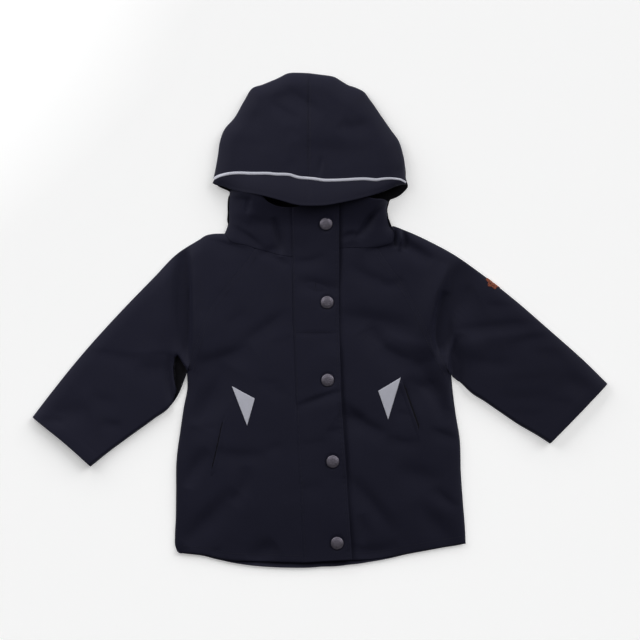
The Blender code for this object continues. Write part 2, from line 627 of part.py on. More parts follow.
FLAP_ROWS = np.linspace(FLAP_TOP_Y, FLAP_HEM_Y, 200)
HOOD_OUTLINE = np.vstack([
    spline(BRIM_EDGE)[:1], spline(HOOD_FOLD_RIGHT), spline(HOOD_FOLD_LEFT)[::-1], spline(BRIM_EDGE)[-1:],
])
HOOD_OUTLINE = at(HOOD_OUTLINE, np.linspace(0, 1, 900))
SEAM_LINES = [
    spline(table)
    for table in (
        RAGLAN_RIGHT, RAGLAN_LEFT, NECK_TO_RAGLAN_RIGHT, NECK_TO_RAGLAN_LEFT, NECK_TO_FLAP_RIGHT, NECK_TO_FLAP_LEFT,
    )
]

back_panel()
front_panel(
    "front_right", spline(SIDE_SEAM_RIGHT), spline(RAGLAN_RIGHT), spline(NECK_TO_FLAP_RIGHT),
    spline(HEM_FRONT_RIGHT), flap_edge=1, inner=1,
)
front_panel(
    "front_left", spline(SIDE_SEAM_LEFT), spline(RAGLAN_LEFT), spline(NECK_TO_FLAP_LEFT),
    spline(HEM_FRONT_LEFT), flap_edge=2, inner=-1,
)
collar(
    "collar_right", spline(COLLAR_SIDE_RIGHT), spline(COLLAR_TOP_RIGHT),
    (spline(NECK_TO_RAGLAN_RIGHT), spline(NECK_TO_FLAP_RIGHT)), flap_edge=1, inner=1,
)
collar(
    "collar_left", spline(COLLAR_SIDE_LEFT), spline(COLLAR_TOP_LEFT),
    (spline(NECK_TO_RAGLAN_LEFT), spline(NECK_TO_FLAP_LEFT)), flap_edge=2, inner=-1,
)
storm_flap()
sleeve(
    "sleeve_right", spline(NECK_TO_RAGLAN_RIGHT), spline(BACK_NECK_RIGHT), spline(RAGLAN_RIGHT),
    spline(BACK_RAGLAN_RIGHT), spline(SLEEVE_TOP_RIGHT), spline(SLEEVE_UNDER_RIGHT), spline(CUFF_RIGHT), inner=1,
)
sleeve(
    "sleeve_left", spline(NECK_TO_RAGLAN_LEFT), spline(BACK_NECK_LEFT), spline(RAGLAN_LEFT),
    spline(BACK_RAGLAN_LEFT), spline(SLEEVE_TOP_LEFT), spline(SLEEVE_UNDER_LEFT), spline(CUFF_LEFT), inner=-1,
)

for name, inner, fold, back_side, neck in (
    ("hood_right", 1, HOOD_FOLD_RIGHT, HOOD_BACK_SIDE_RIGHT, BACK_NECK_RIGHT + BACK_NECK_MIDDLE[1:]),
    ("hood_left", -1, HOOD_FOLD_LEFT, HOOD_BACK_SIDE_LEFT, BACK_NECK_LEFT + BACK_NECK_MIDDLE[-2::-1]),
):
    hood_half(
        name, spline(fold), to_crest(spline(PIPING_LINE[::inner]), inner), spline(back_side),
        to_crest(spline(neck), inner), inner,
    )
hood_piping()
hood_brim()
pocket_welt("pocket_welt_right", POCKET_RIGHT, inner=1)
pocket_welt("pocket_welt_left", POCKET_LEFT, inner=-1)
reflector("reflector_right", REFLECTOR_RIGHT)
reflector("reflector_left", REFLECTOR_LEFT)
for number, (x, y) in enumerate(SNAPS, start=1):
    snap_cap(f"snap_{number}", x, y)
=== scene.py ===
"""Looks of a small child's hooded raincoat, laid on its back with its hood folded forward.

X runs across the coat, Y from the hem to the hood, Z up. Tables and helpers work in millimetres, and
the meshes are in metres. Right and left in names are the wearer's, so the right front is at -X.

Each cloth piece is a grid of points, worked out as whole arrays: two shares, u across and v along, give
a point on the piece's outline patch, and height functions of that point give how high the cloth lies.
"""

import math
from functools import partial

import bpy
import numpy as np
from mathutils import Euler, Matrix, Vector


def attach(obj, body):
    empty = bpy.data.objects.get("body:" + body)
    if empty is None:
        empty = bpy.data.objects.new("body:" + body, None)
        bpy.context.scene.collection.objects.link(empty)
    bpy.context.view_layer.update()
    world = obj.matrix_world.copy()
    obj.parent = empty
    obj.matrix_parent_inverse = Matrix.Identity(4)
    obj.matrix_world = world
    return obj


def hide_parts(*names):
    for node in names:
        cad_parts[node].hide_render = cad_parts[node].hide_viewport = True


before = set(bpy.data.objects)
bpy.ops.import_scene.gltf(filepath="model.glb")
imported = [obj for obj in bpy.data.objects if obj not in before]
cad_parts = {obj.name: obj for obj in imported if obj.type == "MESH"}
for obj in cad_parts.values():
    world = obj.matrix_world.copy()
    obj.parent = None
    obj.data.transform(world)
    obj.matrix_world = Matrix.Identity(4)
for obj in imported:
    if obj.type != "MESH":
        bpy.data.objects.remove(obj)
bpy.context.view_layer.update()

MM = 0.001
BODY = "root"
SIDES = {"right": 1, "left": -1}  # which way along X the coat's middle lies from each side

# Thickness of each cloth
WALL = 0.9
BACK_WALL = 1.1
FLAP_WALL = 1.3
BRIM_WALL = 2.2
TAPE_WALL = 0.35
PIPING_WALL = 0.4
WELT_WALL = 0.5

# Heights of outer faces, and how far in from an edge the cloth reaches its full height
COAT_TOP = 8.0
LOWEST_TOP = 2.4
UNDERSIDE = 0.15
FOLD_HEIGHT = 2.9  # a side fold's outermost line
TOP_ROUND = 17.0  # at a sleeve's top fold
SIDE_ROUND = 15.0  # at side seams
HEM_HEIGHT, HEM_ROUND, HEM_DROP = 2.8, 3.5, 3.0
FLAP_DIP, FLAP_GROOVE = 1.5, 1.4
HOOD_FOLD = 4.0
HOOD_RISE, HOOD_RISE_REACH = 12.0, 20.0
HOOD_PUFF, HOOD_PUFF_REACH = 6.5, 58.0

# Broad forms: mounds (middle, widths, height) and slopes (from y, to y, height)
CHEST = ((-40, 30), (120, 85), 2.4)
CHEST_STRETCH = 0.35**-0.5  # the chest's mound is this much longer towards the hem
COLLAR_SLOPES = ((84, 150, 3.0), (115, 166, 12.3))
YOKE_HOLLOW = (-150, 50, 64, 126, 2.4)  # it deepens between the first two y and fades between the others
NECK_HALF = 112.0  # collar and yoke fade out at this distance from the middle
HOOD_LEAN = ((48, 290), (36, 32), 14.0)  # adds to the hood's reach, so that it rises more slowly there
HOOD_CORNER = ((98, 172), (62, 62), 4.5)
LATTICE, LATTICE_SHIFT = 90, 41.3  # points each way, and a shift that puts no lattice line on the middle
FOLD_SHIFT = 0.7  # a fold's bottom lies this share of its steep side's width off its line
# Unevenness, each row (size, height, seed), and seam grooves, each row (width, depth)
COAT_UNEVENNESS = ((46.0, 0.30, 11), (19.0, 0.18, 12))
HOOD_UNEVENNESS = ((40.0, 0.35, 21), (17.0, 0.16, 22))
SEAM_GROOVES = ((0.9, 0.12), (5.0, 0.14))
HOOD_SEAM_GROOVES = ((1.0, 0.7), (5.0, 0.35))

# Parts and stitches
SNAP_RADIUS, SNAP_HEIGHT = 8.0, 2.6
PIPING_WIDTH = 3.8
WELT_WIDTH = 6.5
CUFF_HEM = 17.0
CUFF_LIFT, CUFF_LIFT_REACH = 2.6, 24  # the open cuff stands a little higher
HOOD_CORNER_SHARE = 0.36  # of half the piping: this stretch is the hood patch's side, the rest its inner edge
SLEEVE_NECK = 0.2  # the neck seam's share of a sleeve's upper end
FRONT_RAGLAN = 0.55  # the raglan's share of a front's upper end
PUCKER_WAVE = 6.5
STITCH, STITCH_PITCH = 2.5, 3.15

# Outlines, each row (x, y)
HOOD_CREST = (-13.8, 308.3)
OUTLINES = {
    "hood_fold_right": [
        (-132.6, 178.8), (-129.8, 192.5), (-127.3, 207.5), (-125.1, 222.5), (-119.7, 237.4), (-107.1, 252.2),
        (-94, 275), (-84, 289.8), (-72, 293.9), (-60, 298.8), (-54, 301.3), (-48, 304.3), (-42, 307.4), (-36, 308.7),
        (-28, 308.8), HOOD_CREST,
    ],
    "hood_fold_left": [
        (107.7, 174.8), (105.7, 184), (106.1, 193), (103.5, 207.8), (98.6, 223), (88.2, 237.9), (77.9, 252.7),
        (62, 275.6), (54, 285.5), (48, 288.7), (42, 291.2), (36, 292.9), (30, 296.3), (24, 300.1), (18, 303.5),
        (12, 304.9), (0, 306.5), HOOD_CREST,
    ],
    "hood_back_side_right": [
        (-132.6, 178.8), (-130, 170), (-126.4, 166.6), (-119.8, 163.6), (-112.6, 159.6), (-115, 152), (-115.5, 145),
        (-115.5, 133), (-115.8, 122.6), (-115.1, 119.8), (-116.4, 114.6), (-119, 108.2),
    ],
    "hood_back_side_left": [
        (107.7, 174.8), (109.4, 170.4), (110, 166.6), (106.5, 161.9), (100.3, 156), (93, 152.1), (87, 149.6),
        (86.3, 146.2), (85, 142.3), (84.2, 136.3), (85.2, 131), (85.2, 125), (87.2, 116.7),
    ],
    "piping": [
        (-132.6, 176.2), (-128.1, 178.4), (-122.5, 180.2), (-116.9, 181.4), (-109.4, 182.5), (-98, 182.8),
        (-86.9, 182.3), (-76, 182.2), (-66, 182.2), (-54, 181.1), (-44, 180.9), (-36, 180), (-31, 178.3),
        (-27, 177.2), (-16, 176.2), (-4.4, 175), (3, 173.8), (18, 173.6), (33, 174.2), (46, 175), (56, 175.2),
        (63, 174.6), (70.6, 174.1), (77, 175.1), (85.6, 175.8), (93.1, 175.6), (100.6, 174.6), (107.4, 171.6),
    ],
    "brim_edge": [
        (-134.2, 170.6), (-130.4, 168.6), (-122.1, 166.9), (-109.5, 161.8), (-89.5, 157.5), (-72, 154.4),
        (-59.6, 151.2), (-47.2, 147.7), (-34.7, 143.9), (-22.3, 141.7), (-9.9, 141.4), (8.4, 142.2), (20.8, 144.3),
        (39.4, 148.2), (59.6, 153.2), (72.1, 156.9), (84.6, 161.8), (94, 166.1), (103.4, 168.6), (108.2, 168.6),
    ],
    "collar_top_right": [
        (-112.2, 162), (-90, 159), (-73, 155.5), (-66, 148), (-60.5, 144.6), (-50, 140.9), (-36, 140),
    ],
    "collar_top_left": [(85, 147.6), (80, 149.8), (70, 150.4), (58, 152.4), (45, 152), (24, 148.5)],
    "collar_side_right": [(-112.2, 162), (-113, 150), (-113.4, 135), (-113.8, 121), (-116.4, 114), (-119, 108)],
    "collar_side_left": [(85, 147.6), (83.4, 142), (83.2, 136), (84.4, 128), (85.6, 122), (87.5, 116.5)],
    "neck_to_raglan_right": [(-119, 108), (-110, 96.5), (-95, 93.5), (-81, 89)],
    "neck_to_raglan_left": [(87.5, 116.5), (93.4, 108), (93, 98), (84, 93), (72.5, 90)],
    "neck_to_flap_right": [(-81, 89), (-62, 84), (-48, 80.5), (-35, 78.5)],
    "neck_to_flap_left": [(72.5, 90), (55, 89.5), (40, 90), (23.8, 89)],
    "back_neck_right": [(-119, 108), (-95, 104.5), (-70, 101.5)],
    "back_neck_left": [(87.5, 116.5), (70, 109.5), (45, 103)],
    "back_neck_middle": [(-70, 101.5), (-40, 99), (-13.8, 98), (15, 99), (45, 103)],
    "raglan_right": [(-81, 89), (-90, 76), (-114, 47.5), (-139, 12.5), (-154, -25), (-165.4, -64)],
    "raglan_left": [(72.5, 90), (88, 67), (104, 45), (118, 22), (131, -5), (144, -34), (163, -68)],
    "back_raglan_right": [(-70, 101.5), (-92, 75), (-120, 35), (-142, -5), (-157, -40), (-165.4, -64)],
    "back_raglan_left": [(45, 103), (70, 72), (97, 35), (122, -5), (145, -42), (163, -68)],
    "side_seam_right": [
        (-165.4, -64), (-164.9, -85), (-169, -107.5), (-173.5, -137.5), (-178.4, -175), (-178.9, -215),
        (-179.4, -250), (-180.4, -270), (-180, -282.6), (-177.6, -288.2),
    ],
    "side_seam_left": [
        (163, -68), (165.3, -92), (168.7, -118), (173.6, -148), (175.1, -190), (178, -232), (180.4, -262),
        (181, -278.4),
    ],
    "hem_front_right": [
        (-177.6, -288.2), (-174, -290.1), (-168, -291), (-156, -292.1), (-144, -293.4), (-132, -296.1),
        (-121, -298.6), (-110, -300.2), (-90, -301), (-72, -301.4), (-45, -302.4), (-21, -303),
    ],
    "hem_front_left": [
        (181, -278.4), (168, -280.8), (137.5, -286), (107.5, -291.6), (88, -295.4), (60, -299), (39.6, -300),
    ],
    "hem_back": [
        (-177.6, -288.2), (-174, -290.1), (-168, -291), (-156, -292.2), (-144, -294), (-132, -297.3), (-120, -299.9),
        (-108, -302.6), (-96, -304.4), (-84, -306), (-72, -307), (-48, -308.3), (-30, -308.6), (-12, -308.4),
        (0, -307.4), (24, -306.4), (36, -304.8), (48, -303.6), (60, -301.6), (84, -297.4), (108, -291.8),
        (132, -287.3), (156, -282.9), (172, -280.4), (181, -278.4),
    ],
    "sleeve_top_right": [
        (-119, 108), (-134, 107.5), (-142, 105.8), (-150.3, 100.7), (-178, 83), (-207, 53.5), (-252, 7), (-297, -43),
        (-339.8, -96.1), (-359.1, -121.3),
    ],
    "sleeve_top_left": [
        (87.5, 116.5), (91.2, 117.2), (96.7, 115.7), (104.3, 112.7), (119.2, 106.5), (137.6, 97.7), (167.6, 81.4),
        (197.8, 60.4), (242.8, 25.4), (287.6, -13.4), (332.7, -53.6), (359.1, -79.6),
    ],
    "sleeve_under_right": [
        (-165.4, -64), (-170.2, -77), (-177.1, -93.4), (-187.7, -108.4), (-206.9, -123.2), (-239.4, -146.8),
        (-264.4, -165.3), (-286.3, -183),
    ],
    "sleeve_under_left": [
        (163, -68), (174.8, -77.7), (190.9, -92.7), (203.4, -100.4), (225.6, -115.6), (247.3, -130.3),
        (273.4, -145.5), (287.1, -154.4),
    ],
    # The right sleeve's upper layer leaves the underarm seam in a fold that stands open, and the near-black inner cloth
    # that shows there is painted shade
    "sleeve_lifted_right": [
        (-165.4, -64), (-171.5, -54), (-178.6, -44.5), (-182, -56), (-181.5, -72), (-180.2, -88), (-187.7, -108.4),
        (-206.9, -123.2), (-239.4, -146.8), (-264.4, -165.3), (-286.3, -183),
    ],
    "cuff_right": [(-359.1, -121.3), (-341, -135.8), (-322.1, -151), (-304, -166.8), (-286.3, -183)],
    "cuff_left": [(359.1, -79.6), (323.1, -117.6), (287.1, -154.4)],
    "pocket_right": [(-112.5, -98), (-121.1, -128), (-128.2, -161), (-136.4, -194)],
    "pocket_left": [(102.2, -76), (112.2, -105.5), (122.6, -136), (128, -160), (130.5, -187.5)],
}

# How deep each stitched seam lies in the cloth
SEAM_DEPTHS = (
    ("raglan_right", 0.55), ("raglan_left", 0.5), ("neck_to_raglan_right", 0.6), ("neck_to_raglan_left", 0.6),
    ("neck_to_flap_right", 0.08), ("neck_to_flap_left", 0.3),
)

# Storm flap, each row (y, x of its sewn edge, x of its free edge)
FLAP_EDGES = [
    (152, -35.6, 23.8), (80, -35, 23.8), (0, -34, 23.8), (-50, -32, 25.2), (-110, -30, 27),
    (-163, -27.6, 31), (-215, -24.8, 34.4), (-262, -22.6, 37.4), (-300, -21, 39.8),
]
FLAP_TOP_Y, FLAP_HEM_Y = 139.4, -303.2
FLAP_EDGE = {"right": 1, "left": 2}  # the edge that each front runs up to
FLAP_CROSS_SEAM = [(-30.5, -14.4), (-4, -15.2), (20.5, -14.4)]

# How far the flap's free edge stands off the front below it, each row (y, height)
FLAP_LIFT = [
    (-300, 1.9), (-265, 1.9), (-230, 1.0), (-198, 1.3), (-175, 3.2), (-130, 3.8), (-100, 3.6), (-72, 2.4), (-45, 2.2),
    (-25, 0.5), (42, 0.4), (62, 1.6), (78, 2.3), (108, 2.4), (150, 1.2),
]

# Height of the brim's outer face along its free edge, each row (x, z)
BRIM_EDGE_HEIGHT = [
    (-133.8, 7), (-118, 13), (-90, 21.5), (-60, 26), (-30, 28), (-8, 28.5), (25, 28), (60, 25.5), (80, 21.5),
    (92, 17), (101, 12), (108.6, 7),
]

# The embroidered rosette. Each ring: where it starts and ends, how deep its petals are, and which of its
# threads are there (each third, each second, all)
MOTIF_AT = (215.6, 46.0)
MOTIF_RADIUS, MOTIF_SHIFT = 11.0, -1.5
MOTIF_RINGS = ((0.05, 0.36, 0.0, 3), (0.34, 0.66, 0.04, 2), (0.64, 1.0, 0.24, 1))

SNAPS = [(7.5, 119.9), (8.9, 22.0), (9.5, -75.0), (15.9, -176.5), (21.4, -278.4)]
SNAP_PROFILE = (
    (0.07, 1.0), (0.14, 0.97), (0.22, 0.93), (0.30, 0.91), (0.38, 0.90), (0.46, 0.88), (0.54, 0.84), (0.61, 0.79),
    (0.67, 0.73), (0.72, 0.66), (0.76, 0.62), (0.80, 0.61), (0.84, 0.59), (0.88, 0.53), (0.92, 0.44), (0.955, 0.34),
    (0.98, 0.24), (0.995, 0.14), (0.99, 0.06), (0.955, 0.02), (0.90, 0.0),
)
# Pocket mouths: the stretch that gapes, and how wide it gapes
MOUTHS = {"right": (26, 104, 1.6), "left": (2, 76, 2.4)}
REFLECTORS = {
    "right": ((-110.0, -82.5), (-81.3, -98.0), (-90.9, -131.6)),
    "left": ((100.8, -71.6), (72.5, -88.4), (85.0, -124.0)),
}

# Folds. Each row's line goes from (x0, y0) by way of (x1, y1) to (x2, y2), along the middle of the fold's
# steeper side, and the cloth goes down there to the right of its run. The rest of the row is the width of
# that side, the width of the far side, and the fold's depth, which is below 0 in a ridge.
CREASES = [
    # chest, right side
    (-152, -48, -124, -42, -94, -29, 9, 20, 3.0),
    (-98, -24, -72, -6, -44, 13, 8, 17, 1.8),
    (-118, -1, -106, 5, -97, 15, 6, 14, 0.7),
    (-62, -26, -48, -24, -36, -18, 5, 12, 0.5),
    (-159, -126, -144, -94, -124, -58, 14, 20, 4.4),
    (-76, -73, -62, -76, -48, -75, 6, 12, 0.6),
    (-130, 40, -120, 34, -106, 34, 5, 10, 0.4),
    (-66, 82, -52, 79, -38, 70, 4, 7, 1.0),
    # lower body, right side
    (-162, -133, -145, -133, -128, -131, 6, 12, 1.0),
    (-134, -158, -104, -164, -66, -163, 7, 13, 1.2),
    (-68, -159, -58, -156, -50, -151, 5, 10, 0.6),
    (-170, -204, -160, -180, -147, -160, 9, 11, 2.6),
    (-170, -272, -147, -246, -116, -212, 11, 17, 3.4),
    (-112, -224, -102, -207, -99, -186, 7, 10, 2.0),
    (-92, -293, -77, -284, -62, -274, 11, 12, 2.8),
    (-137, -291, -132, -287, -125, -283, 5, 8, 0.6),
    (-62, -92, -56, -88, -50, -82, 6, 12, 0.5),
    # chest, left side
    (40, 71, 62, 58, 86, 50, 6.5, 14, 1.6),
    (76, 47, 90, 48, 103, 53, 4.5, 10, 1.3),
    (24, 13, 66, 7, 116, -4, 12, 19, 3.1),
    (66, -4, 76, -16, 84, -26, 8, 13, 1.3),
    (84, -14, 112, -24, 148, -30, 7, 9, -1.2),
    (68, -12, 90, -36, 127, -49, 7.5, 18, 2.6),
    (110, -70, 128, -77, 148, -78, 11, 26, 3.0),
    (149, -128, 137, -92, 118, -58, 10, 12, 3.2),
    (124, -84, 132, -80, 140, -76, 6, 10, 0.9),
    # lower body, left side
    (28, -112, 40, -117, 56, -119, 9, 26, 2.2),
    (34, -103, 56, -124, 84, -138, 6.5, 15, 2.4),
    (86, -143, 104, -149, 124, -148, 5.5, 12, 1.2),
    (96, -112, 106, -115, 114, -117, 4, 8, 0.6),
    (100, -180, 124, -186, 152, -192, 12, 18, 1.9),
    (36, -190, 60, -214, 94, -258, 9, 15, 2.4),
    (124, -222, 144, -242, 172, -276, 12, 15, 2.0),
    (148, -208, 160, -221, 176, -231, 6, 10, 1.6),
    (44, -277, 66, -284, 90, -276, 9, 12, 2.2),
    (47, -276, 50, -262, 48, -246, 6, 8, 1.8),
    (140, -134, 156, -140, 174, -147, 5, 10, 1.4),
    # collar, right side
    (-110, 118.5, -92, 109, -70, 92, 3.6, 9, 1.7),
    (-78, 86, -68, 88, -56, 94, 6, 7, 1.8),
    (-104, 132, -94, 124, -84, 116, 6, 10, 0.8),
    (-52, 82, -54, 102, -60, 124, 4, 5, 4.6),
    (-93, 134, -92, 144, -92, 152, 3, 6, 1.8),
    (-118, 154, -103, 154, -86, 151, 6, 18, 4.0),
    (-90, 146, -86, 137, -70, 130, 3.5, 5, -0.5),
    (-80, 132, -72, 127, -60, 122, 6, 10, 0.8),
    (-146, 105, -120, 98, -86, 88, 4, 12, 1.5),
    # collar, left side
    (85, 149, 66, 133, 46, 104, -2.2, -6.5, 3.4),
    (62, 131, 54, 118, 48, 106, -2.6, -6, 2.2),
    (27, 102, 37, 109, 48, 107, 3.6, 7, 1.7),
    (28, 92, 38, 96, 46, 99, 4, 8, 0.8),
    (56, 87, 80, 92, 106, 96, 4, 14, 2.2),
    (96, 103, 114, 96, 140, 79, 6.5, 12, 3.6),
    (92, 92, 92.5, 106, 91, 120, 2.6, 2.8, 7.0),
    (98.5, 88, 99.5, 103, 97.5, 118, 1.8, 2.6, -5.0),
    (103, 89, 104, 101, 101, 114, 3.2, 3.8, 8.0),
    # shoulder and armhole, right side
    (-162.8, -50, -162.2, 15, -164.8, 92, -5.2, -13, 13.0),
    (-163, -44, -163, 15, -165, 86, 5.0, 14, -4.5),
    (-184, -36, -183, 15, -180, 74, -8, -18, -3.5),
    (-160, -62, -155, -30, -152, 6, 9, 14, -2.0),
    (-190, -34, -189, 10, -188, 60, 8, 12, 0.9),
    (-184, -120, -191, -80, -189, -46, 5, 5, 4.6),
    (-180, -54, -198, -51, -224, -50, 16, 10, -1.0),
    # sleeve, right
    (-272, -32, -240, -38, -196, -36, 4, 6, -0.35),
    (-268, -34, -250, -40, -226, -42, 7, 14, 0.9),
    (-290, -36, -280, -38, -262, -38, 4, 9, 0.5),
    (-226, -54, -208, -56, -194, -52, 8, 15, 0.8),
    (-338, -106, -318, -108, -294, -104, 12, 15, 1.5),
    (-350, -122, -334, -122, -318, -126, 5, 9, 0.8),
    (-270, -124, -262, -127, -248, -128, 5, 10, 0.9),
    (-284, -90, -268, -96, -252, -98, 7, 14, 0.7),
    # shoulder and armhole, left side
    (146, -32, 144.5, 0, 150, 33, 5, 14, 7.0),
    (146, -40, 145, -10, 147, 20, 5, 13, 6.0),
    (147, -50, 145.5, -22, 146, 4, 5, 12, 5.0),
    (150, 22, 166, 31, 188, 42, 8, 26, 3.0),
    (145, 18, 161, 40, 172, 78, 9, 24, 6.0),
    (164, -104, 165, -62, 167, -22, 4.5, 12, 8.0),
    (204, -46, 184, -43, 162, -45, 16, 14, -2.8),
    (166, -74, 163.5, -50, 167, -26, 2.6, 3.0, 4.0),
    (164, -106, 161, -66, 159, -28, -3, -9, -4.0),
    (144, -42, 141, -4, 158, 58, -4, -18, -7.0),
    # sleeve, left
    (160, -12, 206, -5, 272, 0, 6.0, 10, 1.35),
    (186, -22, 222, -18, 258, -13, 5, 12, -0.6),
    (232, -28, 262, -20, 296, -16, 6, 13, 1.25),
    (258, -38, 280, -37, 304, -40, 7, 13, 0.9),
    (186, -44, 208, -49, 240, -50, 6.5, 13, 0.7),
    (204, -62, 230, -63, 262, -60, 6, 10, -0.35),
    (236, -68, 262, -70, 290, -66, 5, 9, 0.3),
    (206, 22, 224, 21, 244, 20, 5, 10, 0.8),
    (226, -90, 254, -92, 282, -86, 9, 15, 0.8),
    (232, -112, 256, -114, 284, -114, 6, 12, 0.6),
    (306, -66, 328, -76, 346, -82, 10, 13, 1.2),
    (292, -98, 304, -100, 316, -100, 5, 10, 0.5),
]
FLAP_CREASES = [
    (-26, 53, -2, 48, 22, 43, 8, 13, 2.2),
    (-33, 79, -18, 76, 4, 83, 4.5, 9, 1.0),
    (-32, -107, -10, -98, 26, -86, 3.6, 8, 1.7),
    (6, -138, 16, -136, 28, -134, 4, 9, 0.7),
    (-24, -152, -4, -150, 16, -146, 5, 11, 0.5),
    (-26, -206, -14, -206, -2, -200, 5, 10, 0.4),
    (-32, -14.4, -4, -15.2, 22, -14.4, 2.4, 4, 0.5),
]
HOOD_CREASES = [
    (-44, 294, -22, 279, 4, 260, 7, 15, 2.0),
    (-72, 282, -54, 280, -36, 284, 8, 14, 0.9),
    (-58, 273, -42, 262, -24, 252, 5.5, 13, 1.4),
    (-34, 242, -30, 234, -26, 226, 5, 9, 0.7),
    (-32, 224, 8, 219, 64, 218, 13, 22, 1.7),
    (30, 243, 46, 246, 62, 252, 8, 13, 1.6),
    (18, 236, 26, 244, 34, 250, 6, 10, 0.9),
    (4.5, 201, 2.5, 190, 1, 178, 2.6, 4.0, 1.3),
    (-32, 200, -31, 192, -32, 184, 4, 7, 0.5),
    (-104, 262, -90, 258, -74, 256, 8, 16, 0.8),
    (-112, 226, -92, 224, -70, 218, 8, 16, 0.6),
]

# Colours, linear
NAVY = (0.0086, 0.0086, 0.0204)
# The next colour is the shell's navy made a little darker: painted shade on the brim, which is the same cloth
BRIM_NAVY_SHADED = (0.0083, 0.0083, 0.0195)
# The inner cloth is a lining, painted near-black as shade: it stands for the shade in the hood's hollow, the sleeves'
# insides and the pocket mouths
INNER_SHADE = (0.0036, 0.0034, 0.0052)
THREAD = (0.0072, 0.0072, 0.0168)
REFLECTIVE = (0.49, 0.495, 0.565)
GUNMETAL = (0.140, 0.128, 0.158)
RUST = (0.300, 0.082, 0.040)
RUST_DARK = (0.170, 0.034, 0.014)
FLOOR = (0.88, 0.88, 0.88)

FLOOR_RADIANCE = 0.915
ROOM_LIGHT = 0.075
# Each far light's compass angle, height in degrees, spread and strength
FAR_LIGHTS = ((-50, 28, 40, 1.81), (0, 15, 20, 0.45), (0, 80, 60, 0.25))
LAMP_SPOT, LAMP_SIZE, LAMP_LEVEL = np.array([-0.82, 0.688, 0.57]), 0.9, 0.85
LENS, SENSOR, VIEW_WIDTH = 150.0, 36.0, 0.8


# ---------------------------------------------------------------- curves and patches


def spline(table, samples=24):
    """A smooth curve through the table's rows: cubic pieces whose slopes come from both neighbours."""
    points = np.array(table, float)
    steps = np.linalg.norm(np.diff(points, axis=0), axis=1)
    chords = np.diff(points, axis=0) / steps[:, None]
    slopes = np.vstack([chords[:1], chords[:-1], chords[-1:]])
    before, after = steps[:-1, None], steps[1:, None]
    slopes[1:-1] = (chords[:-1] * after + chords[1:] * before) / (before + after)
    t = np.linspace(0, 1, samples, endpoint=False)[None, :, None]
    start, end, step = points[:-1, None], points[1:, None], steps[:, None, None]
    curve = (
        (2 * t**3 - 3 * t**2 + 1) * start
        + (t**3 - 2 * t**2 + t) * step * slopes[:-1, None]
        + (3 * t**2 - 2 * t**3) * end
        + (t**3 - t**2) * step * slopes[1:, None]
    )
    return np.vstack([curve.reshape(-1, points.shape[1]), points[-1:]])


def lengths(curve):
    """How far along the curve each of its points is."""
    return np.concatenate([[0.0], np.cumsum(np.linalg.norm(np.diff(curve, axis=0), axis=1))])


def at(curve, share):
    """The points at these shares of the curve's length."""
    run = lengths(curve)
    where = np.asarray(share) * run[-1]
    return np.stack([np.interp(where, run, curve[:, k]) for k in range(curve.shape[1])], axis=-1)


def offset(curve, distance):
    """The curve moved to the left of its own direction."""
    ahead = np.gradient(curve, axis=0)
    ahead /= np.linalg.norm(ahead, axis=1)[:, None]
    return curve + distance * np.stack([-ahead[:, 1], ahead[:, 0]], axis=1)


def cut(curve, start, end):
    """The curve without a stretch at its start and one at its end."""
    run = lengths(curve)[-1]
    return at(curve, np.linspace(start / run, 1 - end / run, len(curve)))


def joined(first, second, share):
    """Two curves end to end, as a function of 0 to 1 that meets their corner at share."""

    def where(u):
        u = np.asarray(u, float)
        near = at(first, np.clip(u / share, 0, 1))
        far = at(second, np.clip((u - share) / (1 - share), 0, 1))
        return np.where(u[..., None] <= share, near, far)

    return where


def patch(u, v, low, high, left, right):
    """A Coons patch: four boundary curves blended over u (left to right) and v (low to high)."""
    low, high, left, right = (side if callable(side) else partial(at, side) for side in (low, high, left, right))
    u, v = np.broadcast_arrays(u, v)
    a, b = u[..., None], v[..., None]
    corners = (1 - a) * (1 - b) * low(0.0) + a * (1 - b) * low(1.0) + (1 - a) * b * high(0.0) + a * b * high(1.0)
    return (1 - b) * low(u) + b * high(u) + (1 - a) * left(v) + a * right(v) - corners


def nearest(curve, xy, reach, samples=72):
    """Signed distance of each point to a curve (left of its direction above 0) and how far along it is.

    The distance is to the nearest of the curve's short straight pieces. Points further than reach from
    the curve's box are left at that distance.
    """
    line = at(curve, np.linspace(0, 1, samples + 1))
    flat = xy.reshape(-1, 2)
    away = np.full(len(flat), float(reach))
    along = np.zeros(len(flat))
    inside = ((flat > line.min(axis=0) - reach) & (flat < line.max(axis=0) + reach)).all(axis=1)
    chosen = np.flatnonzero(inside)
    start, step = line[:-1], np.diff(line, axis=0)
    length = np.linalg.norm(step, axis=1)
    before = lengths(line)[:-1]
    for part in np.array_split(chosen, max(1, len(chosen) // 20000)):
        if not len(part):
            continue
        gap = flat[part, None] - start[None]
        t = np.clip((gap * step).sum(axis=2) / length**2, 0, 1)
        off = gap - t[..., None] * step
        distance = np.sqrt((off**2).sum(axis=2))
        best = distance.argmin(axis=1)
        rows = np.arange(len(part))
        side = step[best, 0] * gap[rows, best, 1] - step[best, 1] * gap[rows, best, 0]
        away[part] = distance[rows, best] * np.where(side < 0, -1.0, 1.0)
        along[part] = before[best] + t[rows, best] * length[best]
    shape = xy.shape[:-1]
    return away.reshape(shape), along.reshape(shape)


def gap_to(curve, xy, reach=30.0, samples=72):
    """The plain distance of each point to a curve."""
    return np.abs(nearest(curve, xy, reach, samples)[0])


def spaced(run, step, near=(), far=()):
    """Shares of a length: the given distances from its start and from its end, and even steps between."""
    near, far = np.array(near, float), np.array(far, float)[::-1]
    low = near[-1] if len(near) else 0.0
    high = run - far[0] if len(far) else run
    count = max(2, math.ceil((high - low) / step) + 1)
    middle = np.linspace(low, high, count)
    middle = middle[1:] if len(near) else middle
    middle = middle[:-1] if len(far) else middle
    return np.concatenate([near, middle, run - far]) / run


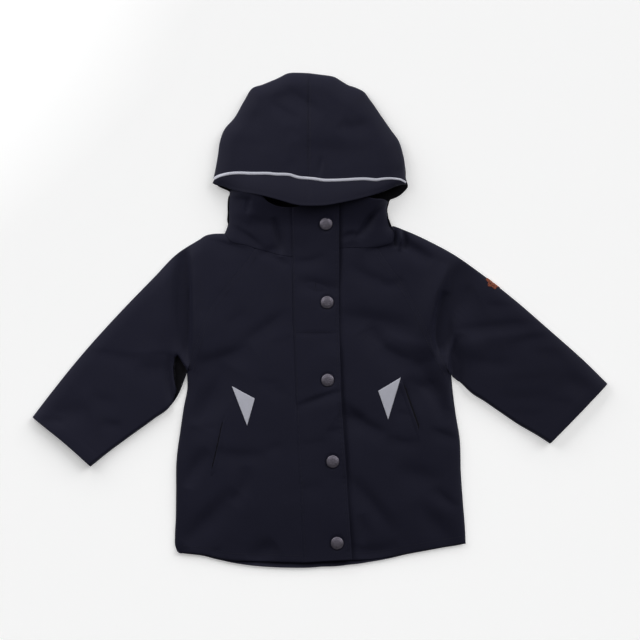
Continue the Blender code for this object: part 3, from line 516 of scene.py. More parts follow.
def step_up(value, start, end):
    """0 before start, 1 after end, and a smooth change between them."""
    t = np.clip((value - start) / (end - start), 0, 1)
    return t * t * (3 - 2 * t)


def ellipse(away, reach):
    """A quarter ellipse: 0 at an edge, 1 from reach inwards."""
    return np.sqrt(1 - (1 - np.clip(away / reach, 0, 1)) ** 2)


def bell(distance, width):
    """1 in the middle, falling off to both sides as e to the minus square of distance over width."""
    return np.exp(-((distance / width) ** 2))


def mound(xy, middle, widths, height):
    """A bell over the plane: the product of one along x and one along y."""
    return height * bell(xy[..., 0] - middle[0], widths[0]) * bell(xy[..., 1] - middle[1], widths[1])


def ripple(along, wave, drift, swing=2.0):
    """A sine wave whose phase swings slowly, so that its waves differ a little in length."""
    return np.sin(2 * np.pi * along / wave + swing * np.sin(along / drift))


def unevenness(xy, size, seed):
    """Smooth random heights from -1 to 1: a lattice of seeded numbers, blended over each cell of this size."""
    values = np.random.default_rng(seed).uniform(-1, 1, (LATTICE, LATTICE))
    cell = xy / size + LATTICE_SHIFT
    low = np.floor(cell).astype(int) % (LATTICE - 2)
    t = cell - np.floor(cell)
    t = t * t * (3 - 2 * t)
    i, j = low[..., 0], low[..., 1]
    a = values[i, j] * (1 - t[..., 0]) + values[i + 1, j] * t[..., 0]
    b = values[i, j + 1] * (1 - t[..., 0]) + values[i + 1, j + 1] * t[..., 0]
    return a * (1 - t[..., 1]) + b * t[..., 1]


def uneven(xy, table):
    """Unevenness of several sizes together, each row (size, height, seed)."""
    return sum(height * unevenness(xy, size, seed) for size, height, seed in table)


def grooves(away, table):
    """A groove within a wider one: bells, each row (width, depth)."""
    return sum(depth * bell(away, width) for width, depth in table)


# ---------------------------------------------------------------- heights


def creases(table, xy):
    """Folds of cloth, fading out at both ends of a bent line.

    A fold's section is a bell: its bottom lies to the right of the line by a share of the steep side's width,
    and the two sides have widths of their own. Widths below 0 put the bottom on the line's left instead.
    The depth runs as half a sine wave from a little before the line's start to a little after its end.
    """
    total = np.zeros(xy.shape[:-1])
    share = np.linspace(-0.07, 1.07, 15)[:, None]
    for x0, y0, x1, y1, x2, y2, steep, gentle, depth in table:
        start, middle, end = np.array([[x0, y0], [x1, y1], [x2, y2]], float)
        bend = 2 * middle - (start + end) / 2
        line = (1 - share) ** 2 * start + 2 * share * (1 - share) * bend + share**2 * end
        away, along = nearest(line, xy, 3 * abs(gentle) + abs(steep), samples=16)
        from_bottom = (away + FOLD_SHIFT * steep) * np.sign(steep)
        width = np.where(from_bottom > 0, abs(steep), abs(gentle))
        t = np.clip(along / lengths(line)[-1], 0, 1)
        total -= depth * bell(from_bottom, width) * np.clip(np.sin(np.pi * t), 0, 1) ** 0.8
    return total


def pucker(away, along, height):
    """Small ripples across a stitched line, uneven in height, and a shallow dip along it."""
    strength = 0.6 + 0.4 * unevenness(np.stack([along, 0 * along], axis=-1), 14.0, 3)
    return height * bell(away, 4.0) * (ripple(along, PUCKER_WAVE, 23.0) * strength - 0.6)


def flap_x(y, edge):
    """The flap's sewn edge (1) or free edge (2) at this y."""
    table = np.array(sorted(FLAP_EDGES))
    return np.interp(y, table[:, 0], table[:, edge])


def flap_dip(x, y):
    """How far the front layer lies down under the storm flap: all of it from sewn edge to free edge."""
    past_sewn, past_free = x - flap_x(y, 1), x - flap_x(y, 2)
    return FLAP_DIP * step_up(past_sewn, 0, 4) * (1 - step_up(past_free, 0.5, 7))


def gaping(along, start, end):
    """How open a pocket's mouth is at a distance along it: 1 between start and end, 0 well outside."""
    return step_up(along, start - 10, start + 10) * (1 - step_up(along, end - 22, end + 4))


def swell(xy):
    """The broad form of the laid coat: a swell over the right chest, a hollow yoke and a collar that stands up."""
    x, y = xy[..., 0], xy[..., 1]
    (chest_x, chest_y), (wide, long), high = CHEST
    long = np.where(y < chest_y, long * CHEST_STRETCH, long)
    chest = high * bell(x - chest_x, wide) * bell(y - chest_y, long)
    stand = sum(high * step_up(y, start, end) for start, end, high in COLLAR_SLOPES)
    low, full, fading, high, deep = YOKE_HOLLOW
    hollow = deep * step_up(y, low, full) * (1 - step_up(y, fading, high))
    return chest + (stand - hollow) * np.exp(-((x / NECK_HALF) ** 8))


def coat_height(xy):
    """Height of the front layer's outer face.

    It is a level, plus folds, a soft unevenness, grooves and puckers along the seams, and a dip under the
    storm flap, and it comes no lower than just above the back layer.
    """
    x, y = xy[..., 0], xy[..., 1]
    z = COAT_TOP + swell(xy) + creases(CREASES, xy) + uneven(xy, COAT_UNEVENNESS) - HEM_DROP * step_up(-y, 225, 302)
    for seam, depth in SEAMS:
        away, along = nearest(seam, xy, 18.0)
        z = z - depth * grooves(away, SEAM_GROOVES) + pucker(away, along, 0.12 * depth)
    past_sewn = x - flap_x(y, 1)
    groove = step_up(past_sewn, -1.4, 0.0) * (1 - step_up(past_sewn, 0.4, 2.2)) * step_up(y, -130, -100)
    z = z - FLAP_GROOVE * groove * (0.8 + 0.2 * unevenness(xy, 25.0, 13)) - flap_dip(x, y)
    for side, (start, end, gape) in MOUTHS.items():
        away, along = nearest(LINES[f"pocket_{side}"], xy, 12.0)
        z = z - 0.4 * gape * bell(away * SIDES[side] + 1.0, 2.2) * gaping(along, start, end)
    soft = 0.5
    return LOWEST_TOP + soft * np.logaddexp(0.0, (z - LOWEST_TOP) / soft)


def hood_height(xy):
    """Height of the hood's outer face.

    It rises from the hood's outline along a quarter ellipse, then a broad swell. The centre seam is a
    groove with puckers beside it.
    """
    away = gap_to(HOOD_OUTLINE, xy, 400.0, samples=260)
    rise = HOOD_RISE * ellipse(away, HOOD_RISE_REACH + mound(xy, *HOOD_LEAN))
    puff = HOOD_PUFF * (1 - bell(away, HOOD_PUFF_REACH)) + mound(xy, *HOOD_CORNER) * ellipse(away, 40)
    z = HOOD_FOLD + rise + puff + creases(HOOD_CREASES, xy) * (1 - bell(away, 14))
    z = z + uneven(xy, HOOD_UNEVENNESS) * (1 - bell(away, 12))
    from_seam = xy[..., 0] - HOOD_CREST[0]
    puckers = 0.14 * bell(from_seam, 4.5) * ripple(xy[..., 1], PUCKER_WAVE, 21)
    return z + (puckers - grooves(from_seam, HOOD_SEAM_GROOVES)) * step_up(away, 1.0, 8.0)


def raised(xy, z):
    """The points xy at the heights z."""
    return np.concatenate([xy, np.broadcast_to(z, xy.shape[:-1])[..., None]], axis=-1)


def brought_down(z, low, share):
    """The height z where share is 1, and low where it is 0."""
    return low + (z - low) * share


# ---------------------------------------------------------------- shader groups and finishes


def add_node(tree, kind, inputs=(), **settings):
    """A node with its settings, and its inputs linked to sockets or given values."""
    node = tree.nodes.new("ShaderNode" + kind)
    place = len(tree.nodes)
    node.location = (place % 6 * 200, -(place // 6) * 250)
    for key, value in settings.items():
        setattr(node, key, value)
    for key, value in dict(inputs).items():
        if isinstance(value, bpy.types.NodeSocket):
            tree.links.new(value, node.inputs[key])
        else:
            node.inputs[key].default_value = value
    return node


def math_node(tree, operation, *values, clamp=False):
    """A Math node on sockets or numbers, and its output."""
    return add_node(tree, "Math", enumerate(values), operation=operation, use_clamp=clamp).outputs[0]


def scaled(tree, vector, factor):
    """A vector or colour times a number."""
    return add_node(tree, "VectorMath", {0: vector, "Scale": factor}, operation="SCALE").outputs[0]


def noise(tree, vector, scale, detail=3.0, rough=0.5):
    """The strength, 0 to 1, of a Noise Texture node."""
    values = {"Vector": vector, "Scale": scale, "Detail": detail, "Roughness": rough}
    return add_node(tree, "TexNoise", values).outputs["Fac"]


def label(key):
    """The socket's name for a Python name, such as Thread contrast for thread_contrast."""
    return key.replace("_", " ").capitalize()


def new_group(name, **numbers):
    """A shader node group: a vector, a colour and these numbers go in; colour, roughness and height come out."""
    tree = bpy.data.node_groups.new(name, "ShaderNodeTree")
    sockets = [("INPUT", "Vector", "Vector", None), ("INPUT", "Colour", "Color", (0.5, 0.5, 0.5, 1))]
    sockets += [("INPUT", label(key), "Float", value) for key, value in numbers.items()]
    sockets += [("OUTPUT", "Colour", "Color", None), ("OUTPUT", "Roughness", "Float", None)]
    for way, key, kind, value in sockets + [("OUTPUT", "Height", "Float", None)]:
        socket = tree.interface.new_socket(name=key, in_out=way, socket_type="NodeSocket" + kind)
        if value is not None:
            socket.default_value = value
    return tree, tree.nodes.new("NodeGroupInput").outputs


def give_results(tree, source, shade, rough, height):
    """Link a group's results: its colour times 1 + shade, its roughness plus rough, and the height."""
    out = tree.nodes.new("NodeGroupOutput").inputs
    tone = scaled(tree, source["Colour"], math_node(tree, "ADD", shade, 1.0))
    roughness = math_node(tree, "ADD", source["Roughness"], rough, clamp=True)
    for key, value in (("Colour", tone), ("Roughness", roughness), ("Height", height)):
        tree.links.new(value, out[key])
    return tree


def woven_group():
    """Plain weave on the piece's own UV map, in metres.

    Two sets of threads a pitch apart, each a rounded ridge, pass over each other in turn. Slubs and a
    slow mottling vary their height and colour.
    """
    tree, source = new_group("plain_weave", pitch=0.00045, thread_contrast=0.3, mottling=0.12, roughness=0.7)
    calc = partial(math_node, tree)
    turned = scaled(tree, source["Vector"], calc("DIVIDE", math.pi, source["Pitch"]))
    split = add_node(tree, "SeparateXYZ", {0: turned}).outputs
    warp, weft = (calc("ABSOLUTE", calc("SINE", split[axis])) for axis in (0, 1))
    turn = calc("MULTIPLY", calc("COSINE", split[0]), calc("COSINE", split[1]))
    over = calc("MULTIPLY", warp, calc("MULTIPLY_ADD", turn, 0.4, 0.5))
    under = calc("MULTIPLY", weft, calc("MULTIPLY_ADD", turn, -0.4, 0.5))
    threads = calc("MAXIMUM", over, under)
    slub, mottle = noise(tree, source["Vector"], 900.0), noise(tree, source["Vector"], 34.0, 4.0, 0.6)
    slow = calc("MULTIPLY", calc("SUBTRACT", mottle, 0.5), source["Mottling"])
    shade = calc("MULTIPLY_ADD", calc("SUBTRACT", threads, 0.55), source["Thread contrast"], slow)
    return give_results(tree, source, shade, calc("MULTIPLY", slow, 0.5), calc("MULTIPLY_ADD", slub, 0.5, threads))


def grain_group():
    """Fine grain and soft wear for tape, thread and metal, on the object's own coordinates."""
    tree, source = new_group("fine_grain", scale=1500.0, variation=0.1, roughness=0.5, roughness_variation=0.1)
    calc = partial(math_node, tree)
    fine, broad = noise(tree, source["Vector"], source["Scale"]), noise(tree, source["Vector"], 160.0)
    both = calc("SUBTRACT", calc("ADD", fine, broad), 1.0)
    rough = calc("MULTIPLY", both, source["Roughness variation"])
    return give_results(tree, source, calc("MULTIPLY", both, source["Variation"]), rough, fine)


def finish(name, effect, colour, bump, distance, shader_values, **values):
    """A material: one group feeds the colour, roughness and bump of a Principled shader.

    effect is the group and the coordinates that it works on, bump and distance are the Bump node's, and
    the rest are the values of the shader and of the group.
    """
    material = bpy.data.materials.new(name)
    material.use_nodes = True
    tree = material.node_tree
    shader = tree.nodes["Principled BSDF"].inputs
    for key, value in shader_values.items():
        shader[key].default_value = value
    group, coordinates = effect
    inputs = {label(key): value for key, value in values.items()}
    inputs |= {"Vector": add_node(tree, "TexCoord").outputs[coordinates], "Colour": (*colour, 1.0)}
    results = add_node(tree, "Group", inputs, node_tree=group).outputs
    bumps = add_node(tree, "Bump", {"Strength": bump, "Distance": distance, "Height": results["Height"]})
    tree.links.new(results["Colour"], shader["Base Color"])
    tree.links.new(results["Roughness"], shader["Roughness"])
    tree.links.new(bumps.outputs["Normal"], shader["Normal"])
    return material


def make_finishes():
    """Every material, under the name that add_piece knows it by."""
    woven, grain = (woven_group(), "UV"), (grain_group(), "Object")
    cloth = {
        "Specular IOR Level": 0.16, "Sheen Weight": 0.05, "Sheen Roughness": 0.45, "Sheen Tint": (0.55, 0.6, 0.95, 1),
    }
    gloss = [{"Specular IOR Level": level} for level in (0.1, 0.3, 0.35)]
    return {
        "navy_shell": finish(
            "navy_shell_cloth", woven, NAVY, 0.35, 0.0001, cloth, thread_contrast=0.35, mottling=0.16, roughness=0.72
        ),
        # The brim's cloth: the shell's navy a little darker, as painted shade
        "navy_brim": finish(
            "brim_cloth_painted_shade", woven, BRIM_NAVY_SHADED, 0.35, 0.0001, cloth, thread_contrast=0.35, mottling=0.12,
            roughness=0.70,
        ),
        # The inner cloth: a lining, painted near-black as the shade inside the coat
        "inner_shade": finish(
            "inner_cloth_painted_shade", woven, INNER_SHADE, 0.2, 0.00005, gloss[0], thread_contrast=0.2, mottling=0.1, roughness=0.8,
            pitch=0.0003,
        ),
        "thread": finish(
            "navy_thread", grain, THREAD, 0.3, 0.00005, gloss[1], variation=0.25, roughness=0.6, scale=2500.0
        ),
        "reflective_grey": finish(
            "reflective_tape", grain, REFLECTIVE, 0.12, 0.00003, gloss[2] | {"Metallic": 0.15}, variation=0.10,
            scale=2600.0,
        ),
        "gunmetal": finish(
            "gunmetal_cap", grain, GUNMETAL, 0.25, 0.00004, {"Metallic": 0.7}, variation=0.7, roughness=0.46,
            roughness_variation=0.25, scale=900.0,
        ),
        "rust": finish("rust_thread", grain, RUST, 0.3, 0.00005, gloss[2], variation=0.5, roughness=0.55, scale=1400.0),
        "rust_dark": finish(
            "dark_rust_thread", grain, RUST_DARK, 0.3, 0.00005, gloss[1], variation=0.4, roughness=0.6, scale=1400.0
        ),
    }


# ---------------------------------------------------------------- meshes


def add_piece(name, points, faces, materials, slot=None, replaced=None):
    """A smooth mesh from points in millimetres and faces, riding on the coat."""
    mesh = bpy.data.meshes.new(name)
    mesh.from_pydata((points * MM).tolist(), [], faces)
    mesh.shade_smooth()
    for key in materials:
        mesh.materials.append(FINISH[key])
    obj = link(name, mesh)
    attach(obj, BODY)
    if replaced:
        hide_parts(replaced)
    return obj


def link(name, data):
    """A new object in the scene with this mesh, light or camera."""
    obj = bpy.data.objects.new(name, data)
    bpy.context.scene.collection.objects.link(obj)
    return obj


def grid_quads(rows, columns, ring=False):
    """The faces of a grid of points; a ring's last column joins its first."""
    number = np.arange(rows * columns).reshape(rows, columns)
    across = np.roll(number, -1, axis=1) if ring else number[:, 1:]
    here = number if ring else number[:, :-1]
    return np.stack([here[:-1], across[:-1], across[1:], here[1:]], axis=-1).reshape(-1, 4)


def facing(grid, looks):
    """The grid's faces, turned round if its highest (looks 1) or lowest (looks -1) ones face the wrong way."""
    quads = grid_quads(*grid.shape[:2])
    corner = grid.reshape(-1, 3)[quads]
    normal = np.cross(corner[:, 2] - corner[:, 0], corner[:, 3] - corner[:, 1])[:, 2]
    level = corner[:, :, 2].mean(axis=1) * looks
    outer = level >= np.quantile(level, 0.7)
    return quads if normal[outer].sum() * looks > 0 else quads[:, ::-1]


# By default a piece's inner face is the inner cloth, painted near-black as shade
def cloth(name, grid, flat, rests_on, replaced, wall=WALL, slot="navy_shell", inside="inner_shade", looks=1):
    """A sheet of cloth through a grid of points: its outer face is the grid, and its wall lies inside.

    Its UV map is the distance along the grid's rows and columns, in metres, so that the weave keeps its
    size. flat, the size of its cut in millimetres, is not used.
    """
    columns = grid.shape[1]
    obj = add_piece(name, grid.reshape(-1, 3), facing(grid, looks).tolist(), (slot, inside), slot, replaced)
    across = np.pad(np.linalg.norm(np.diff(grid, axis=1), axis=2), ((0, 0), (1, 0))).cumsum(axis=1)
    along = np.pad(np.linalg.norm(np.diff(grid, axis=0), axis=2), ((1, 0), (0, 0))).cumsum(axis=0)
    uv = np.stack([across - across[:, columns // 2, None], along], axis=-1).reshape(-1, 2) * MM
    corner = np.zeros(len(obj.data.loops), np.int32)
    obj.data.loops.foreach_get("vertex_index", corner)
    layer = obj.data.uv_layers.new(name="cloth")
    layer.data.foreach_set("uv", uv[corner].astype(np.float32).ravel())
    solidify = obj.modifiers.new("wall", "SOLIDIFY")
    solidify.thickness = wall * MM
    solidify.offset = -1.0
    solidify.use_quality_normals = True
    solidify.material_offset = 1
    solidify.material_offset_rim = 0
    flat = (flat[0] * MM, flat[1] * MM)
    list(rests_on)
    return obj


# ---------------------------------------------------------------- back, fronts and flap


def lines(side, *names):
    """The smooth curves of these outlines on one side."""
    return [LINES[f"{name}_{side}"] for name in names]


def to_middle(xy, count):
    """The grid carried on in straight strips, to the middle line between the flap's edges.

    Near the hem the strips slope down, as the hem does.
    """
    last = xy[:, -1:]
    x, y = last[..., 0], last[..., 1]
    middle = (flap_x(y, 1) + flap_x(y, 2)) / 2
    shares = np.linspace(0, 1, count)[None, 1:, None]
    y = y + 0.09 * np.maximum(middle - x, 0) * step_up(-y, 240, 300)
    return np.concatenate([xy, last * (1 - shares) + np.stack([middle, y], axis=-1) * shares], axis=1)


def back_panel():
    """The back: flat on the surface, its edges turned up and out a little towards the seams.

    Its outer face is below. A quarter ellipse from each seam says how far an edge is turned.
    """
    right, left, hem = LINES["side_seam_right"], LINES["side_seam_left"], LINES["hem_back"]
    neck_and_left = np.vstack([LINES["back_neck_middle"], LINES["back_raglan_left"][1:]])
    top = joined(LINES["back_raglan_right"][::-1], neck_and_left, 0.3)
    edge = (0.0, 0.4, 1.0, 2.0, 4.0)
    u, v = np.meshgrid(spaced(360, 5.0, edge, edge), spaced(380, 5.0, (), edge))
    xy = patch(u, v, top, hem, right, left)
    z = np.full(xy.shape[:-1], UNDERSIDE)
    spread = np.zeros(xy.shape)
    for line, reach, rise, outward in (
        (right, 6.0, 1.6, (-0.95, 0)), (left, 6.0, 1.6, (0.95, 0)), (hem, 6.5, 3.0, (0, -0.95)),
    ):
        turned = 1 - ellipse(gap_to(line, xy), reach)
        z = z + rise * turned
        spread += turned[..., None] * outward
    cloth(
        "back_panel_cloth", raised(xy + spread, z), (362, 408), ("floor",), "back_panel", BACK_WALL,
        inside="navy_shell", looks=-1,
    )


def front_panel(side):
    """One front, from its side seam to the middle line under the flap.

    Its patch lies between the raglan and neck seams, the hem, the side seam and the flap's edge, and
    quarter ellipses bring it down at the side seam and the hem.
    """
    seam, raglan, neck, hem = lines(side, "side_seam", "raglan", "neck_to_flap", "hem_front")
    top = joined(raglan[::-1], neck, FRONT_RAGLAN)
    y = np.linspace(FLAP_TOP_Y, FLAP_HEM_Y, 200)
    y = y[(y < top(1.0)[1]) & (y > hem[-1, 1])]
    flap_line = np.vstack([top(1.0), np.stack([flap_x(y, FLAP_EDGE[side]), y], axis=1), hem[-1]])
    edge = (0.0, 0.15, 0.5, 1.0, 1.8, 3.0)
    u, v = np.meshgrid(spaced(lengths(hem)[-1], 1.9, edge), spaced(lengths(flap_line)[-1], 2.0, edge, edge))
    xy = to_middle(patch(u, v, top, hem, seam, flap_line), 14)
    z = brought_down(coat_height(xy), FOLD_HEIGHT, ellipse(gap_to(seam, xy), SIDE_ROUND))
    above = gap_to(hem, xy)
    z = np.where(above < HEM_ROUND, brought_down(z, HEM_HEIGHT, 0.6 + 0.4 * ellipse(above, HEM_ROUND)), z)
    cloth(f"front_{side}_cloth", raised(xy, z), (205, 400), ("back_panel_cloth",), f"front_{side}")


def flap_height(xy):
    """Height of the storm flap: flush with the front at its sewn edge, standing off it at its free edge."""
    x, y = xy[..., 0], xy[..., 1]
    wide = flap_x(y, 2) - flap_x(y, 1)
    share = (x - flap_x(y, 1)) / wide
    lift = np.interp(y, *np.array(FLAP_LIFT).T)
    z = coat_height(xy) + flap_dip(x, y) + 0.12 + lift * step_up(share, 0.25, 1.0) + creases(FLAP_CREASES, xy)
    for snap in SNAPS:
        r = np.hypot(x - snap[0], y - snap[1])
        z = z - 1.0 * bell(r - SNAP_RADIUS - 0.1, 1.3) - 0.4 * bell(r, 14.0)
    for from_edge, reach in ((share * wide, 4.0), ((1 - share) * wide - 3, 3.0)):
        z = z + 0.10 * bell(from_edge, reach) * ripple(y, 7.3, 26.0, 1.8)
    return z - 0.7 * (1 - ellipse((1 - share) * wide, 1.0))


def storm_flap():
    """The flap over the front opening: rows across it from its sewn edge to its free edge."""
    y = np.linspace(FLAP_TOP_Y, FLAP_HEM_Y, 260)[:, None]
    shares = spaced(60.0, 1.4, (0, 0.4, 0.9, 1.4, 2.0, 2.8), (0, 0.08, 0.25, 0.5, 0.9, 1.5))
    sewn = flap_x(y, 1)
    x = sewn * (1 - shares) + flap_x(y, 2) * shares
    slant = 0.06 * step_up(-y, -FLAP_HEM_Y - 60, -FLAP_HEM_Y) + 0.22 * step_up(y, FLAP_TOP_Y - 60, FLAP_TOP_Y)
    xy = np.stack([x, y + (x - sewn) * slant], axis=-1)
    cloth(
        "storm_flap_cloth", raised(xy, flap_height(xy)), (60, 455), ("front_right_cloth", "front_left_cloth"),
        "storm_flap", FLAP_WALL, inside="navy_shell",
    )


# ---------------------------------------------------------------- collar and sleeves


def collar(side):
    """One front of the stand: from its side, where it turns down, to the middle under the flap."""
    turn, top, near, far = lines(side, "collar_side", "collar_top", "neck_to_raglan", "neck_to_flap")
    near = near[np.argmin(np.linalg.norm(near - turn[-1], axis=1)):]
    neck = joined(near, far, 0.45)
    across = spaced(lengths(top)[-1], 1.5, (0.0, 0.15, 0.5, 1.0, 1.8))
    u, v = np.meshgrid(across, np.linspace(0, 1, 48))
    xy = to_middle(patch(u, v, top, neck, turn, np.vstack([top[-1], neck(1.0)])), 12)
    z = brought_down(coat_height(xy), FOLD_HEIGHT, ellipse(gap_to(turn, xy), SIDE_ROUND))
    cloth(f"collar_{side}_cloth", raised(xy, z), (112, 76), ("hood_right_cloth",), f"collar_{side}")


def sleeve(side):
    """A raglan sleeve, from its underarm seam over the top fold and back below: two layers on one grid.

    Each layer is a patch between the seams, the cuff and the two folds. Quarter ellipses bring both
    layers to one height at the top fold and at the underarm seam. The cuff's hem is thicker, and a
    stitched groove ends it.
    """
    neck, raglan, back_neck, back_raglan = lines(side, "neck_to_raglan", "raglan", "back_neck", "back_raglan")
    top_fold, under_fold, cuff = lines(side, "sleeve_top", "sleeve_under", "cuff")
    lifted = LINES.get(f"sleeve_lifted_{side}", under_fold)
    rings = spaced(lengths(top_fold)[-1], 2.4, (0, 0.4, 1.0, 2.0), (0, 0.3, 0.9, 1.8))[:, None]
    widths = (1 - rings) * (lengths(neck)[-1] + lengths(raglan)[-1]) + rings * lengths(cuff)[-1]
    near = np.array([0.0, 0.12, 0.4, 0.9, 1.6, 2.6, 4.0]) / widths
    layers = []
    for ends, under, count, upper in (
        ((neck, raglan), lifted, 74, True), ((back_neck, back_raglan), under_fold, 34, False),
    ):
        middle = np.linspace(0, 1, count)[1:-1]
        between = near[:, -1:] * (1 - middle) + (1 - near[:, -1:]) * middle
        u = np.hstack([near, between, 1 - near[:, ::-1]])
        xy = patch(u, rings, joined(*ends, SLEEVE_NECK), cuff, top_fold, under)
        to_top, to_under = gap_to(top_fold, xy, 60.0), gap_to(under, xy, 60.0)
        if upper:
            fall = ellipse(to_top, TOP_ROUND) * ellipse(to_under, 4.0)
            from_cuff = gap_to(cuff, xy, 80.0)
            z = brought_down(coat_height(xy), FOLD_HEIGHT, fall)
            z = z - 0.12 * np.exp(-((from_cuff - CUFF_HEM) ** 2) / 3.0) - 0.5 * (1 - ellipse(from_cuff, 1.2))
            z = z + CUFF_LIFT * bell(from_cuff, CUFF_LIFT_REACH) * fall
        else:
            z = brought_down(UNDERSIDE, FOLD_HEIGHT, ellipse(to_top, 5.0) * ellipse(to_under, 5.0))
        layers.append(raised(xy, z))
    grid = np.concatenate([layers[0][:, ::-1], layers[1][:, 1:]], axis=1)
    cloth(f"sleeve_{side}_cloth", grid, (330, 420), ("floor",), f"sleeve_{side}")


# ---------------------------------------------------------------- hood


def to_crest(curve, way):
    """The part of a curve on one side of the hood's centre seam."""
    kept = curve[curve[:, 0] * way < HOOD_CREST[0] * way]
    across = curve[len(kept)]
    share = (HOOD_CREST[0] - kept[-1, 0]) / (across[0] - kept[-1, 0])
    return np.vstack([kept, kept[-1] * (1 - share) + across * share])


def hood_half(side):
    """Half of the hood, from the piping up over its fold and down the back to the neck seam.

    Each row of the grid starts at a point of the fold and runs inwards on the upper layer, to the piping
    and then to the centre seam, and inwards on the lower layer, to the neck and then to the centre.
    """
    way = SIDES[side]
    fold, back_side = lines(side, "hood_fold", "hood_back_side")
    neck = to_crest(spline(OUTLINES[f"back_neck_{side}"] + OUTLINES["back_neck_middle"][::way][1:]), way)
    edge = to_crest(spline(OUTLINES["piping"][::way]), way) + [0, PIPING_WIDTH / 2 - 0.6]
    edge = np.vstack([fold[:1], edge[lengths(edge) > HOOD_FOLD]])
    run = lengths(edge) / lengths(edge)[-1]
    corner = edge[run <= HOOD_CORNER_SHARE]
    edge = np.vstack([corner[-1:], edge[run >= HOOD_CORNER_SHARE]])
    upper_middle, lower_middle = np.vstack([fold[-1], edge[-1]]), np.vstack([fold[-1], neck[-1]])
    stations = spaced(200.0, 1.9, (0, 0.4, 1.0, 2.0), (0, 0.5, 1.2))[:, None]
    near = np.array([0.0, 0.1, 0.35, 0.8, 1.5, 2.5, 4.0])
    layers = []
    for inner, start, end, count in ((edge, corner, upper_middle, 62), (neck, back_side, lower_middle, 26)):
        run = lengths(start)[-1] * (1 - stations) + lengths(end)[-1] * stations
        middle = np.linspace(0, 1, count)[1:]
        u = np.hstack([near / run, near[-1] / run * (1 - middle) + middle])
        layers.append((u * run, patch(stations, u, fold, inner, start, end)))
    (_, upper), (from_fold, lower) = layers
    upper_z = hood_height(upper)
    lower_z = HOOD_FOLD * (1 - ellipse(from_fold, 5.0)) + UNDERSIDE
    upper_z[:, 0] = lower_z[:, 0] = HOOD_FOLD
    grid = np.concatenate([raised(upper, upper_z)[:, ::-1], raised(lower, lower_z)[:, 1:]], axis=1)
    # The hood's inner face is the inner cloth, painted near-black as the shade in its hollow under the brim
    cloth(f"hood_{side}_cloth", grid, (250, 330), ("floor",), f"hood_{side}")


def hood_piping():
    """The reflective piping: a rounded section carried along the line between hood and brim."""
    line = LINES["piping"]
    share = spaced(lengths(line)[-1], 1.6, (0, 0.3, 0.8, 1.5), (0, 0.3, 0.8, 1.5))
    turn = np.linspace(0, np.pi, 11)
    middle, beside = at(line, share), at(offset(line, PIPING_WIDTH / 2), share)
    narrower = 1 - 0.35 * step_up(share, 0.80, 1.0)
    sides = middle[:, None] - np.cos(turn)[None, :, None] * (narrower[:, None] * (beside - middle))[:, None]
    z = hood_height(sides) - 0.4 + 0.9 * np.sin(turn) ** 0.7
    cloth(
        "hood_piping_tape", raised(sides, z), (10, 250), ("hood_right_cloth", "hood_left_cloth"), "hood_piping",
        PIPING_WALL, "reflective_grey", "reflective_grey",
    )


def hood_brim():
    """The stiffened brim: rows from the piping down to a rounded edge, over the collar.

    Its height runs from the piping's to its edge's, a little rounded across, with a stitched groove.
    """
    edge = LINES["brim_edge"]
    top = offset(LINES["piping"], 0.6 - PIPING_WIDTH / 2)
    top = top[top[:, 0] < edge[-1, 0]]
    near = (0, 0.15, 0.5, 1.0, 2.0, 3.5)
    u, v = np.meshgrid(spaced(lengths(top)[-1], 1.7, near, near), spaced(30.0, 1.4, (), (0, 0.15, 0.4, 0.8, 1.4)))
    xy = patch(u, v, top, edge, np.vstack([top[0], edge[0]]), np.vstack([top[-1], edge[-1]]))
    top_z = hood_height(xy[:1]) - 0.3
    edge_z = np.interp(xy[-1:, :, 0], *np.array(BRIM_EDGE_HEIGHT).T)
    z = brought_down(top_z, edge_z, 1 - v) + 1.1 * np.sin(np.pi * v) * np.clip(top_z / 20, 0, 1)
    away = gap_to(edge, xy, 12.0)
    z = z + 0.12 * unevenness(xy, 22.0, 31) - 0.8 * (1 - ellipse(away, 0.9)) - 0.14 * bell(away - 4.0, 0.8)
    # The brim wears the darker copy of the navy, painted shade
    cloth(
        "hood_brim_cloth", raised(xy, z), (250, 44), ("collar_right_cloth", "collar_left_cloth"), "hood_brim",
        BRIM_WALL, "navy_brim", "navy_brim",
    )


# ---------------------------------------------------------------- small pieces


